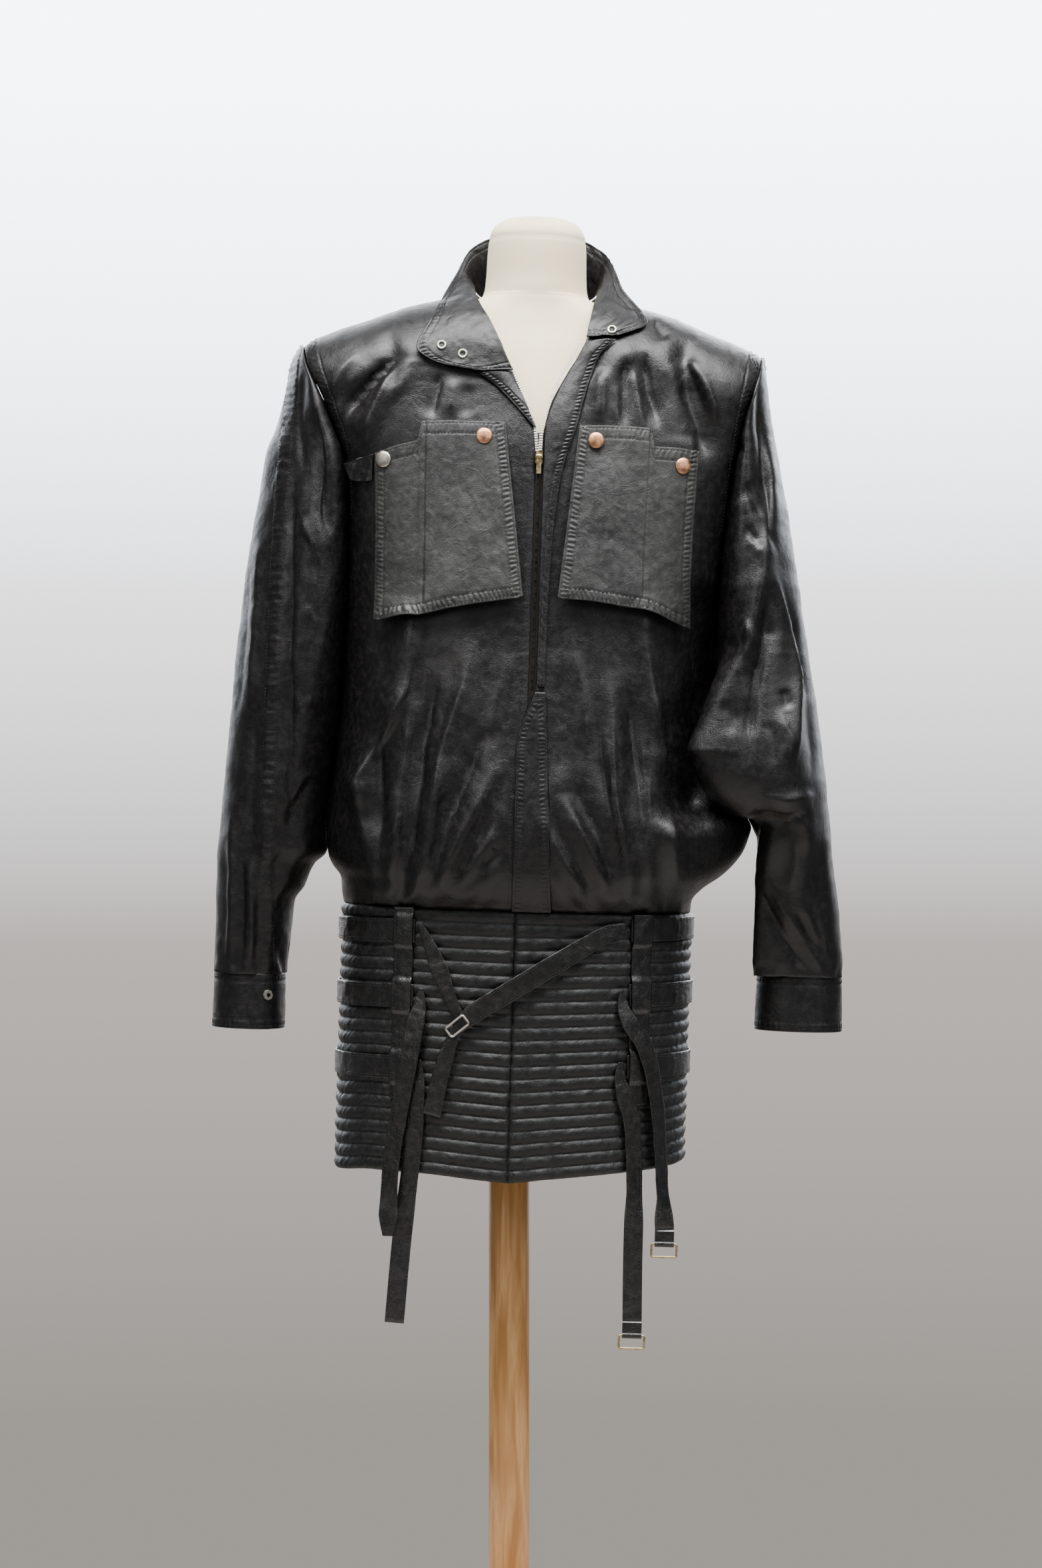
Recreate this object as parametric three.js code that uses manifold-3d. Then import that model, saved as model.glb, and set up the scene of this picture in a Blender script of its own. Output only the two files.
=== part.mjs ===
// Long blouson jacket of thin leather with a quilted hip band, worn on a limbless dress form
// that stands on a wooden pole and a round base. Millimetres, +Z up, the jacket's front faces -Y.
// The origin is the middle of the base's underside.
// Jacket and form are drawn in the jacket's own frame: x across, y front to back, z up from the hem.
// That frame leans a little about the hem's middle, as the form leans on its pole.

import * as THREE from 'three';
import Module from 'manifold-3d';

const wasm = await Module();
wasm.setup();

// Driving dimensions
const HEM_HEIGHT = 540;
const LEAN = THREE.MathUtils.degToRad(1.75);
const WALL = 1.5;
const SEAM = 0.3;
const ZIP_X = 8;

const BAND = { height: 265, wall: 2, left: 173, right: 173, front: 120, back: 117, power: 2.3 };
const RIBS = { count: 21, rise: 3, groove: 0.4 };
const STRAP = { width: 23, thick: 1.8, lift: 3.8, tail: 19, fromX: -97.6, toX: 110.6 };
const LOOPS = { width: 18, thick: 1.5, bottom: 78, left: -108, right: 121 };
const CUFF = { height: 54, wall: 2, overlap: 3, flare: 1.5, lapStart: { left: 2.1, right: 0.6 } };
const POLE = { radius: 20.5 };
const BASE = { radius: 190, height: 26 };
const NECK = { radiusX: 60, radiusY: 56 };
const SHOULDER_ROUND = 70;
const BODY_POWER = 2.6;

// How far the band's hem is pulled up from its lowest place, across its front and its back.
const HEM_LIFT = {
  front: [
    { x: -173, z: 0 }, { x: -133, z: 6 }, { x: -92, z: 6 }, { x: -26, z: 1.5 }, { x: -2, z: 0 },
    { x: 35, z: 4 }, { x: 108, z: 11 }, { x: 152, z: 15 }, { x: 173, z: 18 },
  ],
  back: [{ x: -173, z: 0 }, { x: 0, z: 7 }, { x: 173, z: 18 }],
};

// Shoulder line: height above the hem at each distance from the middle.
const SHOULDER = [
  { x: 0, z: 886 }, { x: 76, z: 880 }, { x: 92, z: 875 }, { x: 130, z: 865 },
  { x: 170, z: 850 }, { x: 202, z: 838 }, { x: 224, z: 828 }, { x: 236, z: 818 },
];

// Half depth of the body in front of and behind the side seams at each height.
const BODY_DEPTH = [
  { z: 265, front: 121, back: 118 }, { z: 280, front: 133, back: 128 },
  { z: 305, front: 144, back: 137 }, { z: 345, front: 148, back: 140 },
  { z: 430, front: 141, back: 134 }, { z: 540, front: 130, back: 121 },
  { z: 640, front: 124, back: 113 }, { z: 720, front: 116, back: 109 },
  { z: 800, front: 98, back: 98 }, { z: 886, front: 84, back: 86 },
];

// Depth of the valley between body and sleeve at each height, before the shoulder rounds it off.
const VALLEY = [
  { z: 300, y: 0.3 }, { z: 330, y: 5 }, { z: 400, y: 13 }, { z: 500, y: 27 },
  { z: 600, y: 45 }, { z: 690, y: 60 }, { z: 760, y: 72 }, { z: 830, y: 75 },
];

// Each side's outlines: where the body ends, and the sleeve's inner and outer edge, at each height.
// The right sleeve's slack hangs over the front as far as its edge.
const SIDES = {
  left: {
    sign: -1,
    underarm: 312,
    body: [
      { z: 265, x: 174 }, { z: 277, x: 177 }, { z: 290, x: 178 }, { z: 303, x: 187 },
      { z: 312, x: 191 }, { z: 335, x: 194 }, { z: 365, x: 191 }, { z: 420, x: 185 },
      { z: 500, x: 180 }, { z: 600, x: 178 }, { z: 690, x: 181 }, { z: 755, x: 203 },
      { z: 805, x: 226 }, { z: 826, x: 231 },
    ],
    inner: [
      { z: 192, x: 231 }, { z: 215, x: 229 }, { z: 245, x: 226 }, { z: 266, x: 224 },
      { z: 280, x: 215 }, { z: 296, x: 209 }, { z: 312, x: 200 },
    ],
    outer: [
      { z: 192, x: 303 }, { z: 300, x: 303 }, { z: 367, x: 299.5 }, { z: 434, x: 295 },
      { z: 501, x: 291 }, { z: 568, x: 285.5 }, { z: 636, x: 278 }, { z: 676, x: 272 },
      { z: 716, x: 266 }, { z: 743, x: 257 }, { z: 784, x: 247.5 }, { z: 808, x: 243 },
      { z: 820, x: 237 }, { z: 826, x: 234 },
    ],
    depth: [
      { z: 192, y: 42 }, { z: 230, y: 47 }, { z: 312, y: 57 }, { z: 400, y: 64 },
      { z: 500, y: 65 }, { z: 600, y: 58 }, { z: 700, y: 44 }, { z: 760, y: 28 },
      { z: 826, y: 14 },
    ],
    edge: [{ z: 312, x: 300 }],
    neck: [
      { z: 735, x: 4 }, { z: 745, x: 0 }, { z: 775, x: -12 }, { z: 815, x: -31 },
      { z: 843, x: -45 }, { z: 862, x: -55 }, { z: 882, x: -NECK.radiusX - 2 },
    ],
  },
  right: {
    sign: 1,
    underarm: 350,
    body: [
      { z: 265, x: 174 }, { z: 276, x: 175 }, { z: 288, x: 184 }, { z: 302, x: 203 },
      { z: 316, x: 217 }, { z: 329, x: 226 }, { z: 343, x: 231 }, { z: 352, x: 233 },
      { z: 368, x: 225 }, { z: 390, x: 213 }, { z: 415, x: 201 }, { z: 450, x: 193 },
      { z: 520, x: 189 }, { z: 600, x: 191 }, { z: 690, x: 199 }, { z: 755, x: 209 },
      { z: 805, x: 224 }, { z: 826, x: 228 },
    ],
    inner: [
      { z: 205, x: 243 }, { z: 276, x: 242.5 }, { z: 316, x: 241 }, { z: 338, x: 240 },
      { z: 350, x: 238 },
    ],
    outer: [
      { z: 205, x: 329.5 }, { z: 225, x: 329 }, { z: 279, x: 322.5 }, { z: 319, x: 316 },
      { z: 359, x: 311.5 }, { z: 412, x: 304.5 }, { z: 465, x: 297 }, { z: 519, x: 287 },
      { z: 572, x: 277 }, { z: 639, x: 266 }, { z: 705, x: 253 }, { z: 759, x: 242 },
      { z: 799, x: 235.5 }, { z: 818, x: 233 }, { z: 826, x: 231 },
    ],
    depth: [
      { z: 205, y: 35 }, { z: 245, y: 42 }, { z: 300, y: 54 }, { z: 350, y: 78 },
      { z: 415, y: 96 }, { z: 500, y: 84 }, { z: 600, y: 66 }, { z: 700, y: 46 },
      { z: 760, y: 28 }, { z: 826, y: 14 },
    ],
    edge: [
      { z: 352, x: 236 }, { z: 360, x: 228 }, { z: 367, x: 206 }, { z: 388, x: 180 },
      { z: 424, x: 163 }, { z: 428, x: 161 }, { z: 432, x: 162.6 }, { z: 460, x: 173 },
      { z: 503, x: 188 }, { z: 542, x: 203 },
      { z: 600, x: 222 }, { z: 640, x: 236 },
    ],
    neck: [
      { z: 735, x: 12 }, { z: 761, x: 18 }, { z: 792, x: 33 }, { z: 826, x: 51 },
      { z: 862, x: 57 }, { z: 882, x: NECK.radiusX + 2 },
    ],
  },
};

// Large folds as soft ridges between two points of the front or back: width and rise.
const FOLDS = {
  front: [
    { x0: -158, z0: 390, x1: -118, z1: 530, width: 17, rise: 16 },
    { x0: -146, z0: 268, x1: -158, z1: 390, width: 11, rise: 9 },
    { x0: -131, z0: 268, x1: -111, z1: 440, width: 11, rise: 8 },
    { x0: -98, z0: 268, x1: -57, z1: 500, width: 12, rise: 9 },
    { x0: -79, z0: 268, x1: -28, z1: 400, width: 11, rise: 8 },
    { x0: -60, z0: 268, x1: -18, z1: 350, width: 9, rise: 7 },
    { x0: -41, z0: 268, x1: -16, z1: 316, width: 8, rise: 4 },
    { x0: 46, z0: 268, x1: 28, z1: 326, width: 8, rise: 4 },
    { x0: 72, z0: 268, x1: 30, z1: 347, width: 10, rise: 7 },
    { x0: 98, z0: 268, x1: 41, z1: 383, width: 11, rise: 8 },
    { x0: 114, z0: 268, x1: 86, z1: 467, width: 12, rise: 9 },
    { x0: 134, z0: 268, x1: 123, z1: 409, width: 11, rise: 7 },
    { x0: 160, z0: 268, x1: 118, z1: 542, width: 12, rise: 10 },
    { x0: 170, z0: 380, x1: 178, z1: 560, width: 26, rise: -38 },
    { x0: 84, z0: 800, x1: 66, z1: 752, width: 11, rise: 6 },
    { x0: 147, z0: 808, x1: 176, z1: 742, width: 12, rise: -9 },
    { x0: -135, z0: 804, x1: -191, z1: 738, width: 12, rise: -9 },
    { x0: -128, z0: 800, x1: -158, z1: 740, width: 11, rise: 5 },
  ],
  back: [
    { x0: -150, z0: 268, x1: -126, z1: 420, width: 12, rise: 9 },
    { x0: -112, z0: 268, x1: -96, z1: 400, width: 11, rise: 8 },
    { x0: -70, z0: 268, x1: -60, z1: 430, width: 11, rise: 9 },
    { x0: -24, z0: 268, x1: -18, z1: 400, width: 11, rise: 8 },
    { x0: 22, z0: 268, x1: 24, z1: 420, width: 11, rise: 9 },
    { x0: 66, z0: 268, x1: 60, z1: 390, width: 11, rise: 8 },
    { x0: 108, z0: 268, x1: 96, z1: 430, width: 11, rise: 9 },
    { x0: 152, z0: 268, x1: 130, z1: 410, width: 12, rise: 8 },
    { x0: -168, z0: 742, x1: -110, z1: 600, width: 14, rise: 8 },
    { x0: 172, z0: 742, x1: 116, z1: 590, width: 14, rise: 8 },
  ],
};

// Large sleeve folds: ridges given by the fraction round from the inner seam to the outer edge.
const SLEEVE_FOLDS = {
  left: [
    { u0: 0.3, z0: 740, u1: 0.42, z1: 500, width: 0.11, rise: 7 },
    { u0: 0.2, z0: 560, u1: 0.45, z1: 380, width: 0.1, rise: 8 },
    { u0: 0.25, z0: 320, u1: 0.32, z1: 200, width: 0.07, rise: 5 },
    { u0: 0.5, z0: 330, u1: 0.5, z1: 200, width: 0.07, rise: 5 },
    { u0: 0.75, z0: 320, u1: 0.7, z1: 200, width: 0.07, rise: 5 },
  ],
  right: [
    { u0: 0.72, z0: 700, u1: 0.14, z1: 430, width: 0.1, rise: 12 },
    { u0: 0.95, z0: 600, u1: 0.5, z1: 372, width: 0.1, rise: 11 },
    { u0: 0.6, z0: 350, u1: 0.4, z1: 240, width: 0.09, rise: 7 },
    { u0: 0.3, z0: 330, u1: 0.22, z1: 215, width: 0.08, rise: 5 },
    { u0: 0.8, z0: 320, u1: 0.75, z1: 215, width: 0.08, rise: 5 },
  ],
};

// Dress form: half width, front and back depth at each height, from the flat bottom to the neck cap.
const FORM_SECTIONS = [
  { z: 96, x: 150, front: 88, back: 92 }, { z: 100, x: 156, front: 93, back: 97 },
  { z: 160, x: 160, front: 97, back: 101 }, { z: 240, x: 148, front: 93, back: 94 },
  { z: 340, x: 122, front: 84, back: 78 }, { z: 450, x: 130, front: 92, back: 80 },
  { z: 560, x: 142, front: 108, back: 86 }, { z: 640, x: 148, front: 112, back: 90 },
  { z: 720, x: 150, front: 98, back: 92 }, { z: 780, x: 153, front: 80, back: 86 },
  { z: 820, x: 150, front: 66, back: 74 }, { z: 845, x: 141, front: 60, back: 66 },
  { z: 857, x: 126, front: 50, back: 54 }, { z: 864.5, x: 109, front: 42, back: 46 },
  { z: 870.3, x: 92, front: 39, back: 43 }, { z: 874.5, x: 74, front: 38, back: 38 },
  { z: 878, x: 59.5, front: 39, back: 38 }, { z: 886, x: 53, front: 41, back: 40 },
  { z: 898, x: 50.5, front: 45, back: 44 },
  { z: 925, x: 49.5, front: 46, back: 45 }, { z: 940, x: 48, front: 45, back: 44 },
  { z: 951, x: 41, front: 38, back: 37 }, { z: 958, x: 25, front: 23, back: 23 },
  { z: 960, x: 7, front: 7, back: 7 },
];

// Pocket flaps: x of the column at the top and bottom edge, with both heights.
const FLAPS = {
  left: [
    { topX: -152, topZ: 709, botX: -141, botZ: 545 }, { topX: -131, topZ: 716, botX: -123, botZ: 546 },
    { topX: -110, topZ: 721, botX: -105, botZ: 548 }, { topX: -107, topZ: 740, botX: -101, botZ: 550 },
    { topX: -80, topZ: 741, botX: -76, botZ: 557 }, { topX: -52, topZ: 741, botX: -52, botZ: 562 },
    { topX: -26, topZ: 741, botX: -4, botZ: 570 },
  ],
  right: [
    { topX: 47, topZ: 740, botX: 30, botZ: 570 }, { topX: 70, topZ: 741, botX: 56, botZ: 569 },
    { topX: 94, topZ: 741, botX: 82, botZ: 566 }, { topX: 116, topZ: 740, botX: 108, botZ: 562 },
    { topX: 120, topZ: 722, botX: 112, botZ: 561 }, { topX: 142, topZ: 722, botX: 132, botZ: 554 },
    { topX: 164, topZ: 720, botX: 151, botZ: 547 },
  ],
};

// Collar: neck seam (inner) and free edge (outer) round the neck from the left front to the right.
const COLLAR = [
  { ix: -20, iy: -103, iz: 795, ox: -56, oy: -106, oz: 793 },
  { ix: -27, iy: -101, iz: 808, ox: -99, oy: -102, oz: 802 },
  { ix: -34, iy: -97, iz: 824, ox: -115, oy: -97, oz: 813 },
  { ix: -45, iy: -85, iz: 846, ox: -103, oy: -66, oz: 846 },
  { ix: -56, iy: -61, iz: 866, ox: -93, oy: -34, oz: 873 },
  { ix: -61, iy: -22, iz: 884, ox: -81, oy: 2, oz: 902 },
  { ix: -58, iy: 18, iz: 887, ox: -65, oy: 33, oz: 933 },
  { ix: -32, iy: 51, iz: 881, ox: -35, oy: 56, oz: 950 },
  { ix: 0, iy: 58, iz: 879, ox: 0, oy: 63, oz: 953 },
  { ix: 32, iy: 51, iz: 881, ox: 35, oy: 56, oz: 950 },
  { ix: 58, iy: 18, iz: 887, ox: 65, oy: 33, oz: 933 },
  { ix: 61, iy: -22, iz: 884, ox: 78, oy: 0, oz: 912 },
  { ix: 58, iy: -56, iz: 868, ox: 88, oy: -28, oz: 886 },
  { ix: 55, iy: -78, iz: 851, ox: 111, oy: -62, oz: 850 },
  { ix: 51, iy: -94, iz: 831, ox: 84, oy: -82, oz: 834 },
];

// Lapels: inner edge on the front's neck edge and outer edge turned out over the front.
// The right one runs on down beside the zip as a narrow placket.
const LAPELS = {
  left: [
    { ix: -22, iz: 792, ox: -53, oz: 789 }, { ix: -17, iz: 782, ox: -40, oz: 781 },
    { ix: -9, iz: 767, ox: -22, oz: 764 }, { ix: -2, iz: 751, ox: -8, oz: 749 },
    { ix: 4, iz: 738, ox: 2.5, oz: 737.5 },
  ],
  right: [
    { ix: 50, iz: 824, ox: 80, oz: 827 }, { ix: 41, iz: 806, ox: 64, oz: 811 },
    { ix: 31, iz: 788, ox: 57, oz: 790 }, { ix: 20, iz: 762, ox: 50, oz: 765 },
    { ix: 13, iz: 738, ox: 44, oz: 740 }, { ix: 12.6, iz: 716, ox: 37, oz: 718 },
    { ix: 12.6, iz: 690, ox: 30, oz: 690 }, { ix: 12.6, iz: 636, ox: 24, oz: 636 },
    { ix: 12.6, iz: 560, ox: 21, oz: 560 }, { ix: 12.6, iz: 484, ox: 20.5, oz: 484 },
  ],
};

// Hip straps: height of each on the band at its middle.
const STRAP_HEIGHTS = [246, 182, 112];

// Hanging stretches of the straps: centre line on the band, width, and how far out it lies.
const TAILS = {
  strap_top_left_end: [
    { x: -92, z: 248, wide: 6, out: 4.9 }, { x: -84, z: 232, wide: 12, out: 5.6 },
    { x: -72, z: 205, wide: 18, out: 6.5 }, { x: -60, z: 176, wide: 12, out: 6.5 },
    { x: -50, z: 159, wide: 8, out: 6.5 },
  ],
  strap_top_right_end: [
    { x: 105, z: 253, wide: 8, out: 4.9 }, { x: 88, z: 246, wide: 17, out: 6.2 },
    { x: 40, z: 216, wide: 20, out: 8 }, { x: -6, z: 186, wide: 20, out: 8.6 },
    { x: -40, z: 163, wide: 19, out: 9 }, { x: -54, z: 147, wide: 11, out: 9 },
    { x: -64, z: 118, wide: 16, out: 9 }, { x: -75, z: 64, wide: 19, out: 9 },
  ],
  strap_middle_left_end: [
    { x: -90.5, z: 187, wide: 6, out: 4.9 }, { x: -90, z: 172, wide: 12, out: 5.8 },
    { x: -92.5, z: 155, wide: 19, out: 8.6 }, { x: -96, z: 124, wide: 19, out: 10.8 },
    { x: -104, z: 70, wide: 19, out: 11 }, { x: -110, z: 16, wide: 19, out: 12.5 },
    { x: -110, z: -36, wide: 19, out: 15 }, { x: -110, z: -56, wide: 10, out: 15 },
  ],
  strap_low_left_end: [
    { x: -90.5, z: 117, wide: 6, out: 4.9 }, { x: -90, z: 103, wide: 12, out: 5.4 },
    { x: -91, z: 88, wide: 19, out: 6.6 }, { x: -91.5, z: 50, wide: 19, out: 6.6 },
    { x: -94, z: 14, wide: 19, out: 6.6 }, { x: -100, z: -56, wide: 19, out: 6.6 },
    { x: -105, z: -141, wide: 19, out: 6.6 },
  ],
  strap_middle_right_end: [
    { x: 105, z: 191, wide: 6, out: 4.9 }, { x: 103.5, z: 177, wide: 11, out: 6.4 },
    { x: 109, z: 160, wide: 18, out: 9.6 }, { x: 121, z: 141, wide: 19, out: 10.4 },
    { x: 129, z: 118, wide: 19, out: 10.8 }, { x: 137, z: 75, wide: 19, out: 10.8 },
    { x: 141, z: 31, wide: 19, out: 10.8 }, { x: 147, z: -46, wide: 19, out: 10.8 },
  ],
  strap_low_right_end: [
    { x: 104, z: 120, wide: 6, out: 4.9 }, { x: 103.5, z: 106, wide: 12, out: 5.6 },
    { x: 107, z: 88, wide: 17, out: 6.9 }, { x: 114.5, z: 66, wide: 19, out: 6.9 },
    { x: 119, z: 17, wide: 19, out: 6.9 }, { x: 120.3, z: -79, wide: 19, out: 6.9 },
    { x: 121.4, z: -134, wide: 19, out: 6.9 },
  ],
};

const RING = { width: 27, height: 15, bar: 1.1, sides: 6, play: 0.3, fold: 13 };
const SLIDER = { x: ZIP_X, z: 708, width: 6.8, height: 12, depth: 3.4 };
const PULL = { length: 17, width: 4.6, thick: 1.2, eye: 1.2, rim: 1, pin: 0.85, reach: 3.4 };

// Snaps: place on the flap, collar or cuff, cap radius.
const SNAP_RADIUS = 8;
const FLAP_SNAPS = [
  { name: 'snap_left_outer', side: 'left', x: -143, z: 703, steel: true },
  { name: 'snap_left_inner', side: 'left', x: -46, z: 727 },
  { name: 'snap_right_inner', side: 'right', x: 63, z: 726 },
  { name: 'snap_right_outer', side: 'right', x: 148, z: 705 },
];

const MATERIALS = {
  leather: new THREE.MeshStandardMaterial({ color: 0x1d1c1c, roughness: 0.42, metalness: 0 }),
  quilt: new THREE.MeshStandardMaterial({ color: 0x222423, roughness: 0.46, metalness: 0 }),
  strap: new THREE.MeshStandardMaterial({ color: 0x1c1a19, roughness: 0.4, metalness: 0 }),
  tape: new THREE.MeshStandardMaterial({ color: 0x121212, roughness: 0.9, metalness: 0 }),
  jersey: new THREE.MeshStandardMaterial({ color: 0xe6ddcb, roughness: 0.85, metalness: 0 }),
  pine: new THREE.MeshStandardMaterial({ color: 0xb8793c, roughness: 0.5, metalness: 0 }),
  brass: new THREE.MeshStandardMaterial({ color: 0xa58a5a, roughness: 0.35, metalness: 1 }),
  copper: new THREE.MeshStandardMaterial({ color: 0xb07a5c, roughness: 0.4, metalness: 1 }),
  steel: new THREE.MeshStandardMaterial({ color: 0xc4c2bb, roughness: 0.3, metalness: 1 }),
};

const worn = new THREE.Group();
worn.position.z = HEM_HEIGHT;
worn.rotation.y = LEAN;
const stand = new THREE.Group();
const jacket = new THREE.Group();
jacket.add(worn, stand);

function add(group, name, geometry, material) {
  const mesh = new THREE.Mesh(geometry, MATERIALS[material]);
  mesh.name = name;
  group.add(mesh);
}

// Value of one column of a table at a height or distance, on a smooth curve without overshoot.
function at(table, key, place, by = 'z') {
  const last = table.length - 1;
  if (place <= table[0][by]) return table[0][key];
  if (place >= table[last][by]) return table[last][key];
  const i = table.findIndex((row) => row[by] > place) - 1;
  const slope = (k) => (table[k + 1][key] - table[k][key]) / (table[k + 1][by] - table[k][by]);
  const tangent = (k) => {
    if (k === 0) return slope(0);
    if (k === last) return slope(last - 1);
    const a = slope(k - 1);
    const b = slope(k);
    return a * b <= 0 ? 0 : (2 * a * b) / (a + b);
  };
  const step = table[i + 1][by] - table[i][by];
  const t = (place - table[i][by]) / step;
  const h00 = (1 + 2 * t) * (1 - t) * (1 - t);
  const h01 = t * t * (3 - 2 * t);
  return h00 * table[i][key] + h01 * table[i + 1][key]
    + t * (1 - t) * (1 - t) * step * tangent(i) + t * t * (t - 1) * step * tangent(i + 1);
}

const lerp = (a, b, t) => a + (b - a) * t;
const heights = (low, high, count) => range(count).map((t) => lerp(low, high, t));
const clamp = (value, low, high) => Math.min(high, Math.max(low, value));
const smooth = (t) => clamp(t, 0, 1) ** 2 * (3 - 2 * clamp(t, 0, 1));
const range = (count) => Array.from({ length: count + 1 }, (_, i) => i / count);

// Closed body from points and faces; the faces are turned so that they point out.
function solid(points, faces) {
  let volume = 0;
  for (const [a, b, c] of faces) {
    volume += points[a].dot(new THREE.Vector3().crossVectors(points[b], points[c]));
  }
  const turned = volume < 0 ? faces.map(([a, b, c]) => [a, c, b]) : faces;
  const geometry = new THREE.BufferGeometry();
  geometry.setAttribute('position', new THREE.Float32BufferAttribute(
    points.flatMap((p) => [p.x, p.y, p.z]), 3));
  geometry.setIndex(turned.flat());
  geometry.computeVertexNormals();
  return geometry;
}

// Outward normals of a grid of points; side is 1 or -1 and picks which way is out.
// A ridge row is the shoulder's, where the cloth faces straight up.
function gridNormals(grid, side, ridge) {
  return grid.map((row, i) => row.map((_, j) => {
    if (ridge && i === grid.length - 1) return new THREE.Vector3(0, 0, 1);
    const up = grid[Math.min(i + 1, grid.length - 1)][j].clone().sub(grid[Math.max(i - 1, 0)][j]);
    const along = row[Math.min(j + 1, row.length - 1)].clone().sub(row[Math.max(j - 1, 0)]);
    return along.cross(up).normalize().multiplyScalar(side);
  }));
}

// Wall between two grids of equal size, closed round its four edges.
function wallBetween(outer, inner) {
  const rows = outer.length;
  const cols = outer[0].length;
  const points = [...outer.flat(), ...inner.flat()];
  const out = (i, j) => i * cols + j;
  const into = (i, j) => rows * cols + i * cols + j;
  const faces = [];
  const quad = (a, b, c, d) => faces.push([a, b, c], [a, c, d]);
  for (let i = 0; i < rows - 1; i += 1) {
    for (let j = 0; j < cols - 1; j += 1) {
      quad(out(i, j), out(i, j + 1), out(i + 1, j + 1), out(i + 1, j));
      quad(into(i, j), into(i + 1, j), into(i + 1, j + 1), into(i, j + 1));
    }
    quad(out(i, 0), out(i + 1, 0), into(i + 1, 0), into(i, 0));
    quad(out(i, cols - 1), into(i, cols - 1), into(i + 1, cols - 1), out(i + 1, cols - 1));
  }
  for (let j = 0; j < cols - 1; j += 1) {
    quad(out(0, j), into(0, j), into(0, j + 1), out(0, j + 1));
    quad(out(rows - 1, j), out(rows - 1, j + 1), into(rows - 1, j + 1), into(rows - 1, j));
  }
  return solid(points, faces);
}

// Cloth wall of even thickness behind a grid of outer points.
function cloth(grid, side, thick = WALL, ridge = false) {
  const normals = gridNormals(grid, side, ridge);
  const inner = grid.map((row, i) => row.map((p, j) => p.clone().addScaledVector(normals[i][j], -thick)));
  return wallBetween(grid, inner);
}

// Wall with raised ribs: many outer rows over a plain inside of two rows.
function ribbedWall(outer, inner) {
  const rows = outer.length;
  const cols = outer[0].length;
  const points = [...outer.flat(), ...inner.flat()];
  const out = (i, j) => i * cols + j;
  const into = (i, j) => rows * cols + i * cols + j;
  const faces = [];
  const quad = (a, b, c, d) => faces.push([a, b, c], [a, c, d]);
  for (let j = 0; j < cols - 1; j += 1) {
    for (let i = 0; i < rows - 1; i += 1) {
      quad(out(i, j), out(i, j + 1), out(i + 1, j + 1), out(i + 1, j));
    }
    quad(into(0, j), into(1, j), into(1, j + 1), into(0, j + 1));
    quad(out(0, j), into(0, j), into(0, j + 1), out(0, j + 1));
    quad(out(rows - 1, j), out(rows - 1, j + 1), into(1, j + 1), into(1, j));
  }
  const middle = Math.floor(rows / 2);
  for (let i = 0; i < rows - 1; i += 1) {
    const near = i < middle ? 0 : 1;
    faces.push([out(i, 0), out(i + 1, 0), into(near, 0)]);
    faces.push([out(i, cols - 1), into(near, cols - 1), out(i + 1, cols - 1)]);
  }
  faces.push([out(middle, 0), into(1, 0), into(0, 0)]);
  faces.push([out(middle, cols - 1), into(0, cols - 1), into(1, cols - 1)]);
  return solid(points, faces);
}

// Closed loft: rings of points with a flat cap at both ends.
function loft(rings) {
  const count = rings[0].length;
  const points = rings.flat();
  const faces = [];
  rings.slice(1).forEach((_, i) => {
    for (let j = 0; j < count; j += 1) {
      const k = (j + 1) % count;
      const low = i * count;
      const high = low + count;
      faces.push([low + j, low + k, high + k], [low + j, high + k, high + j]);
    }
  });
  const top = (rings.length - 1) * count;
  for (let j = 1; j < count - 1; j += 1) {
    faces.push([0, j + 1, j]);
    faces.push([top, top + j, top + j + 1]);
  }
  return solid(points, faces);
}

// Closed ring of round bar along a loop of points.
function barLoop(path, radius, sides) {
  const points = [];
  const faces = [];
  path.forEach((p, i) => {
    const ahead = path[(i + 1) % path.length];
    const behind = path[(i + path.length - 1) % path.length];
    const along = ahead.clone().sub(behind).normalize();
    const across = new THREE.Vector3(0, 1, 0);
    const third = along.clone().cross(across);
    for (let j = 0; j < sides; j += 1) {
      const turn = (j / sides) * 2 * Math.PI;
      points.push(p.clone().addScaledVector(across, radius * Math.cos(turn))
        .addScaledVector(third, radius * Math.sin(turn)));
      const next = (j + 1) % sides;
      const here = i * sides;
      const there = ((i + 1) % path.length) * sides;
      faces.push([here + j, there + j, there + next], [here + j, there + next, here + next]);
    }
  });
  return solid(points, faces);
}

// Strip of cloth of rectangular section along a path, with the direction across it at each point.
function strip(path, across, width, thick) {
  const rings = path.map((p, i) => {
    const along = path[Math.min(i + 1, path.length - 1)].clone().sub(path[Math.max(i - 1, 0)]).normalize();
    const wide = across[i].clone().addScaledVector(along, -across[i].dot(along)).normalize();
    const deep = along.cross(wide);
    const corner = (a, b) => p.clone().addScaledVector(wide, a * width[i] / 2)
      .addScaledVector(deep, b * thick / 2);
    return [corner(-1, -1), corner(1, -1), corner(1, 1), corner(-1, 1)];
  });
  return loft(rings);
}

// Curve through a few points, sampled evenly.
function through(points, count) {
  return new THREE.CatmullRomCurve3(points, false, 'centripetal').getSpacedPoints(count);
}

// Soft ridges: how far the cloth stands out at a place, with ends that fade.
function ridges(list, x, z, names = ['x0', 'x1'], reach = 40) {
  let rise = 0;
  for (const fold of list) {
    const t = clamp((z - fold.z0) / (fold.z1 - fold.z0), 0, 1);
    const beyond = Math.abs(z - lerp(fold.z0, fold.z1, t));
    const off = (x - lerp(fold[names[0]], fold[names[1]], t)) / fold.width;
    rise += fold.rise * Math.exp(-off * off) * smooth(1 - beyond / reach) * (1 - 0.55 * t);
  }
  return rise;
}

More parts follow.
